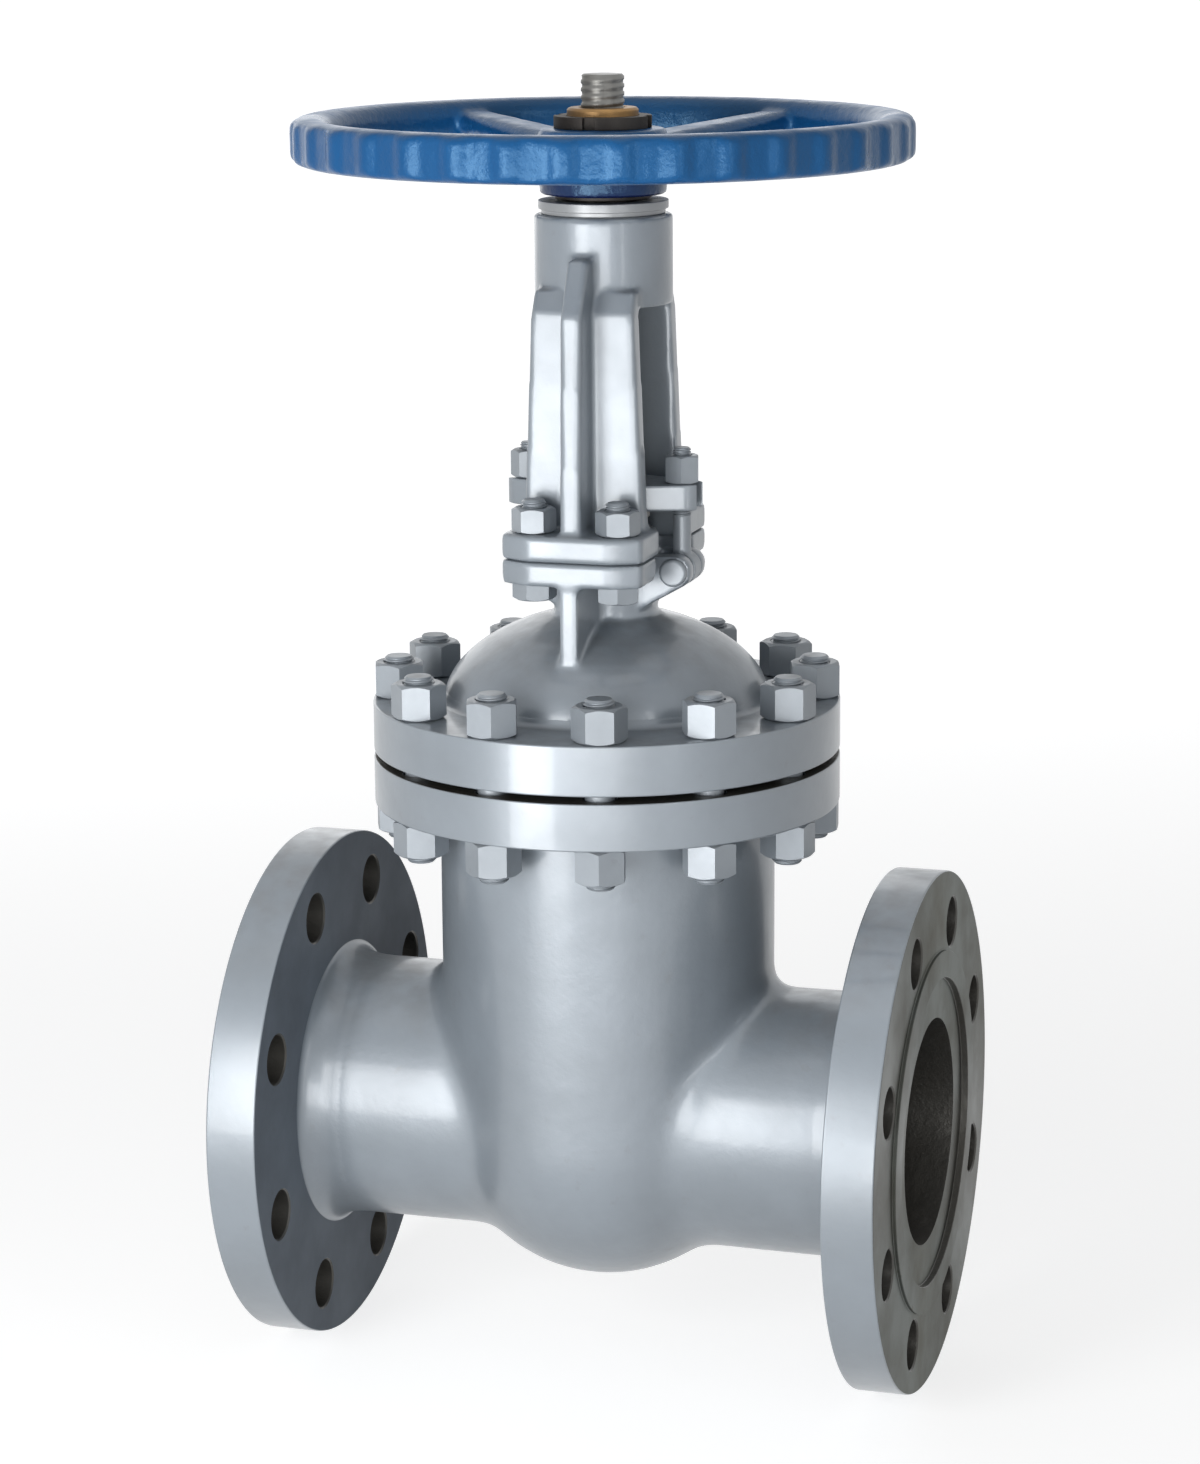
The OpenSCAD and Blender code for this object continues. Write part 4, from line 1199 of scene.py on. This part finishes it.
def painted(name, colour, dull, dust, roughness, metallic, grain=1.0, gloss=1.0, uneven=0.1, coat=(0, 0.03)):
    """Paint over a cast or machined skin. dull is its colour in worn patches, dust its colour on top faces.

    grain is the height of the grain in GRAIN. coat is the weight and the roughness of a clear coat.
    """
    material, tree, shader = new_material(name, colour, roughness, metallic, gloss)
    marks = use_group(tree, wear, Speck=SPECK, Dust=DUST)
    tone = mixed(tree, marks["Patch"], colour, dull)
    tone = mixed(tree, marks["Dust"], tone, dust)
    tone = mixed(tree, marks["Speck"], tone, dust)
    rough = combine(tree, "ADD", roughness, combine(tree, "MULTIPLY", marks["Patch"], uneven))
    rough = combine(tree, "ADD", rough, combine(tree, "MULTIPLY", marks["Dust"], DUST_ROUGHNESS))
    bumps = raised(tree, use_group(tree, cast_grain, Size=grain)["Height"], GRAIN)
    fill(shader, Base_Color=tone, Roughness=rough, Normal=bumps, Coat_Weight=coat[0], Coat_Roughness=coat[1])
    return material


SHADED_HUB_R = 50 * MM


def paint_hub_shade(material, colour):
    """Painted shade: the wheel's hub passes to a darker colour below the rim's middle, where the rim shades
    it.
    """
    tree = material.node_tree
    parts = tree.nodes.new("ShaderNodeSeparateXYZ")
    fill(parts, Vector=object_place(tree))
    x, y = combine(tree, "SUBTRACT", parts.outputs["X"], STEM_X), parts.outputs["Y"]
    square = combine(tree, "ADD", combine(tree, "MULTIPLY", x, x), combine(tree, "MULTIPLY", y, y))
    near = stretch(tree, combine(tree, "SQRT", square), SHADED_HUB_R + 12 * MM, SHADED_HUB_R)
    below = stretch(tree, parts.outputs["Z"], WHEEL_LOW + 20 * MM, WHEEL_LOW + 14 * MM)
    base = tree.nodes["Principled BSDF"].inputs["Base Color"]
    mask = combine(tree, "MULTIPLY", near, below)
    put(base, mixed(tree, mask, base.links[0].from_socket, colour))


# %% Bare metal
def bare_metal(name, colour, stain, roughness):
    """Turned or oiled metal: fine scratches, and stains where hands and oil have been."""
    material, tree, shader = new_material(name, colour, roughness, 1.0, 0.5)
    marks = use_group(tree, wear)
    tone = mixed(tree, marks["Speck"], mixed(tree, marks["Patch"], colour, stain), stain)
    rough = combine(tree, "ADD", roughness, combine(tree, "MULTIPLY", marks["Patch"], 0.15))
    fill(shader, Base_Color=tone, Roughness=rough, Normal=raised(tree, noise(tree, 900, 2), SCRATCH))
    return material


def turned_about_pipe(material):
    """Turning marks run round the pipe, so a lamp shows on the face as a fan and not as a spot."""
    tree = material.node_tree
    around = tree.nodes.new("ShaderNodeVectorMath")
    around.operation = "CROSS_PRODUCT"
    around.inputs[0].default_value = (1, 0, 0)
    put(around.inputs[1], object_place(tree))
    fill(tree.nodes["Principled BSDF"], Anisotropic=0.8, Tangent=around.outputs["Vector"])


# %% The valve's finishes
silver = (0.243, 0.277, 0.313)
silver_dull = (0.208, 0.237, 0.266)
grey_dust = (0.18, 0.18, 0.176)
cast_paint = painted("cast_paint", silver, silver_dull, grey_dust, 0.35, 0.2, 1.2, gloss=0.85,
                     coat=(0.45, 0.15))
smooth_paint = painted("smooth_paint", silver, silver_dull, grey_dust, 0.31, 0.2, 0.6, coat=(0.4, 0.09))
# Duller paint for the backs of the end flanges; its darker colour is painted shade.
dull_shaded_back = painted("dull_shaded_back", (0.15, 0.175, 0.205), (0.12, 0.138, 0.162), (0.11, 0.11, 0.11), 0.6, 0,
                 gloss=0.25)
bolt_paint = painted("bolt_paint", (0.28, 0.312, 0.345), (0.23, 0.257, 0.285), grey_dust, 0.36, 0.2)
cap_paint = painted("cap_paint", (0.28, 0.29, 0.30), (0.23, 0.24, 0.25), grey_dust, 0.33, 0.2, 0.75)
wheel_paint = painted("wheel_paint", (0.007, 0.085, 0.25), (0.006, 0.072, 0.215), (0.007, 0.09, 0.25), 0.25,
                      0, 3.5, gloss=0.55, uneven=0.08)
fill(wheel_paint.node_tree.nodes["Principled BSDF"], Specular_Tint=(0.4, 0.72, 1.0, 1))
# The hub's lower part takes a dark navy as painted shade under the rim.
paint_hub_shade(wheel_paint, (0.006, 0.012, 0.06))
graphite = painted("graphite", (0.035, 0.036, 0.038), (0.025, 0.025, 0.026), (0.08, 0.08, 0.08), 0.6, 0,
                   gloss=0.5)
inside_skin = painted("inside_skin", (0.09, 0.088, 0.081), (0.065, 0.061, 0.053), (0.07, 0.064, 0.057), 0.34,
                      0.5, 3, gloss=0.5)
machined = bare_metal("machined_face", (0.125, 0.134, 0.126), (0.09, 0.088, 0.075), 0.44)
turned_about_pipe(machined)
stem_steel = bare_metal("stem_steel", (0.24, 0.24, 0.23), (0.15, 0.143, 0.13), 0.36)
seat_steel = bare_metal("seat_steel", (0.52, 0.51, 0.49), (0.40, 0.38, 0.35), 0.28)
brass = bare_metal("dull_brass", (0.47, 0.27, 0.10), (0.17, 0.11, 0.06), 0.36)
dark_steel = bare_metal("dark_steel", (0.075, 0.07, 0.066), (0.035, 0.03, 0.027), 0.5)
print("materials:", len(bpy.data.materials))

# %% [markdown]
# ## Putting the pieces together
#
# Each piece is built, named, given its finish and set on the body that carries it. Where it stands for a
# CAD node, that node isn't shown. The inner parts that show only through the pipe keep their solids and
# get a material.

# %% Body, bonnet and yoke
piece(build_body(), "valve_body", "root",
      [cast_paint, smooth_paint, inside_skin, machined, dull_shaded_back], ["body_casting"])
piece(build_bonnet(), "bonnet_cast", "root", [cast_paint, smooth_paint, inside_skin],
      ["bonnet"])
piece(soft_cast("yoke", CAST_VOXEL, 4), "yoke_frame", "root", [cast_paint], ["yoke"])


# %% Fasteners of the two joints
def fastener(bm, name, node, sharp=35):
    piece(bm, name, "root", [bolt_paint], [node], sharp)


fastener(build_studs(), "stud_row", "bonnet_studs")
fastener(build_stud_nuts(BONNET_HIGH, TOP_NUT_TURNS), "stud_nuts_top", "bonnet_nuts_upper", 20)
fastener(build_stud_nuts(BODY_FLANGE_LOW - STUD_NUT_HEIGHT, LOW_NUT_TURNS), "stud_nuts_under",
         "bonnet_nuts_lower", 20)
for side, where in ((-1, "front"), (1, "back")):
    fastener(build_yoke_bolts(side), f"foot_bolts_{where}", f"yoke_bolts_{where}", 20)
    fastener(build_yoke_nuts(side), f"foot_nuts_{where}", f"yoke_nuts_{where}", 20)

# %% Gland
piece(soft_cast("gland_flange", GLAND_VOXEL, 3), "gland_plate", "root", [smooth_paint],
      ["gland_flange"])
piece(build_follower(), "gland_sleeve", "root", [stem_steel], ["gland_follower"])
for side, where in ((-1, "inlet"), (1, "outlet")):
    fastener(build_eyebolt(side), f"swing_bolt_{where}", f"eyebolt_{where}")
    fastener(build_eye_nut(side, EYE_NUT_TWIST * side), f"swing_nut_{where}", f"eyebolt_nut_{where}", 20)
    fastener(build_pin(side), f"swing_pin_{where}", f"eyebolt_pin_{where}")

# %% Stem drive and wheel
piece(build_stem(), "threaded_stem", "stem", [stem_steel], ["stem"], sharp=25)
piece(build_stem_nut(), "brass_nut", "wheel", [brass, dark_steel], ["stem_nut"])
piece(build_lock_nut(), "slotted_nut", "wheel", [dark_steel], ["lock_nut"])
piece(build_cap(), "bearing_cap", "root", [cap_paint], ["yoke_cap"])
piece(build_handwheel(), "wheel_cast", "wheel", [wheel_paint], ["handwheel"])

# %% Inner solids that keep their shape
inner_finish = {
    seat_steel: ("seat_ring_inlet", "seat_ring_outlet", "wedge"),
    graphite: ("bonnet_gasket", "packing"),
    brass: ("back_seat_bush",),
    stem_steel: ("bearing_lower", "bearing_upper", "handwheel_key"),
}
for material, nodes in inner_finish.items():
    for node in nodes:
        mesh = frame["nodes"][node].data
        mesh.materials.clear()
        mesh.materials.append(material)
print("inner solids with a new finish:", sum(len(nodes) for nodes in inner_finish.values()))

# %% [markdown]
#
# The dressed valve is meant to fill the same box as the solids. The box of the solids is written down.

# %% Sizes written down
print("box before:", [[round(v, 4) for v in corner] for corner in cad_box])
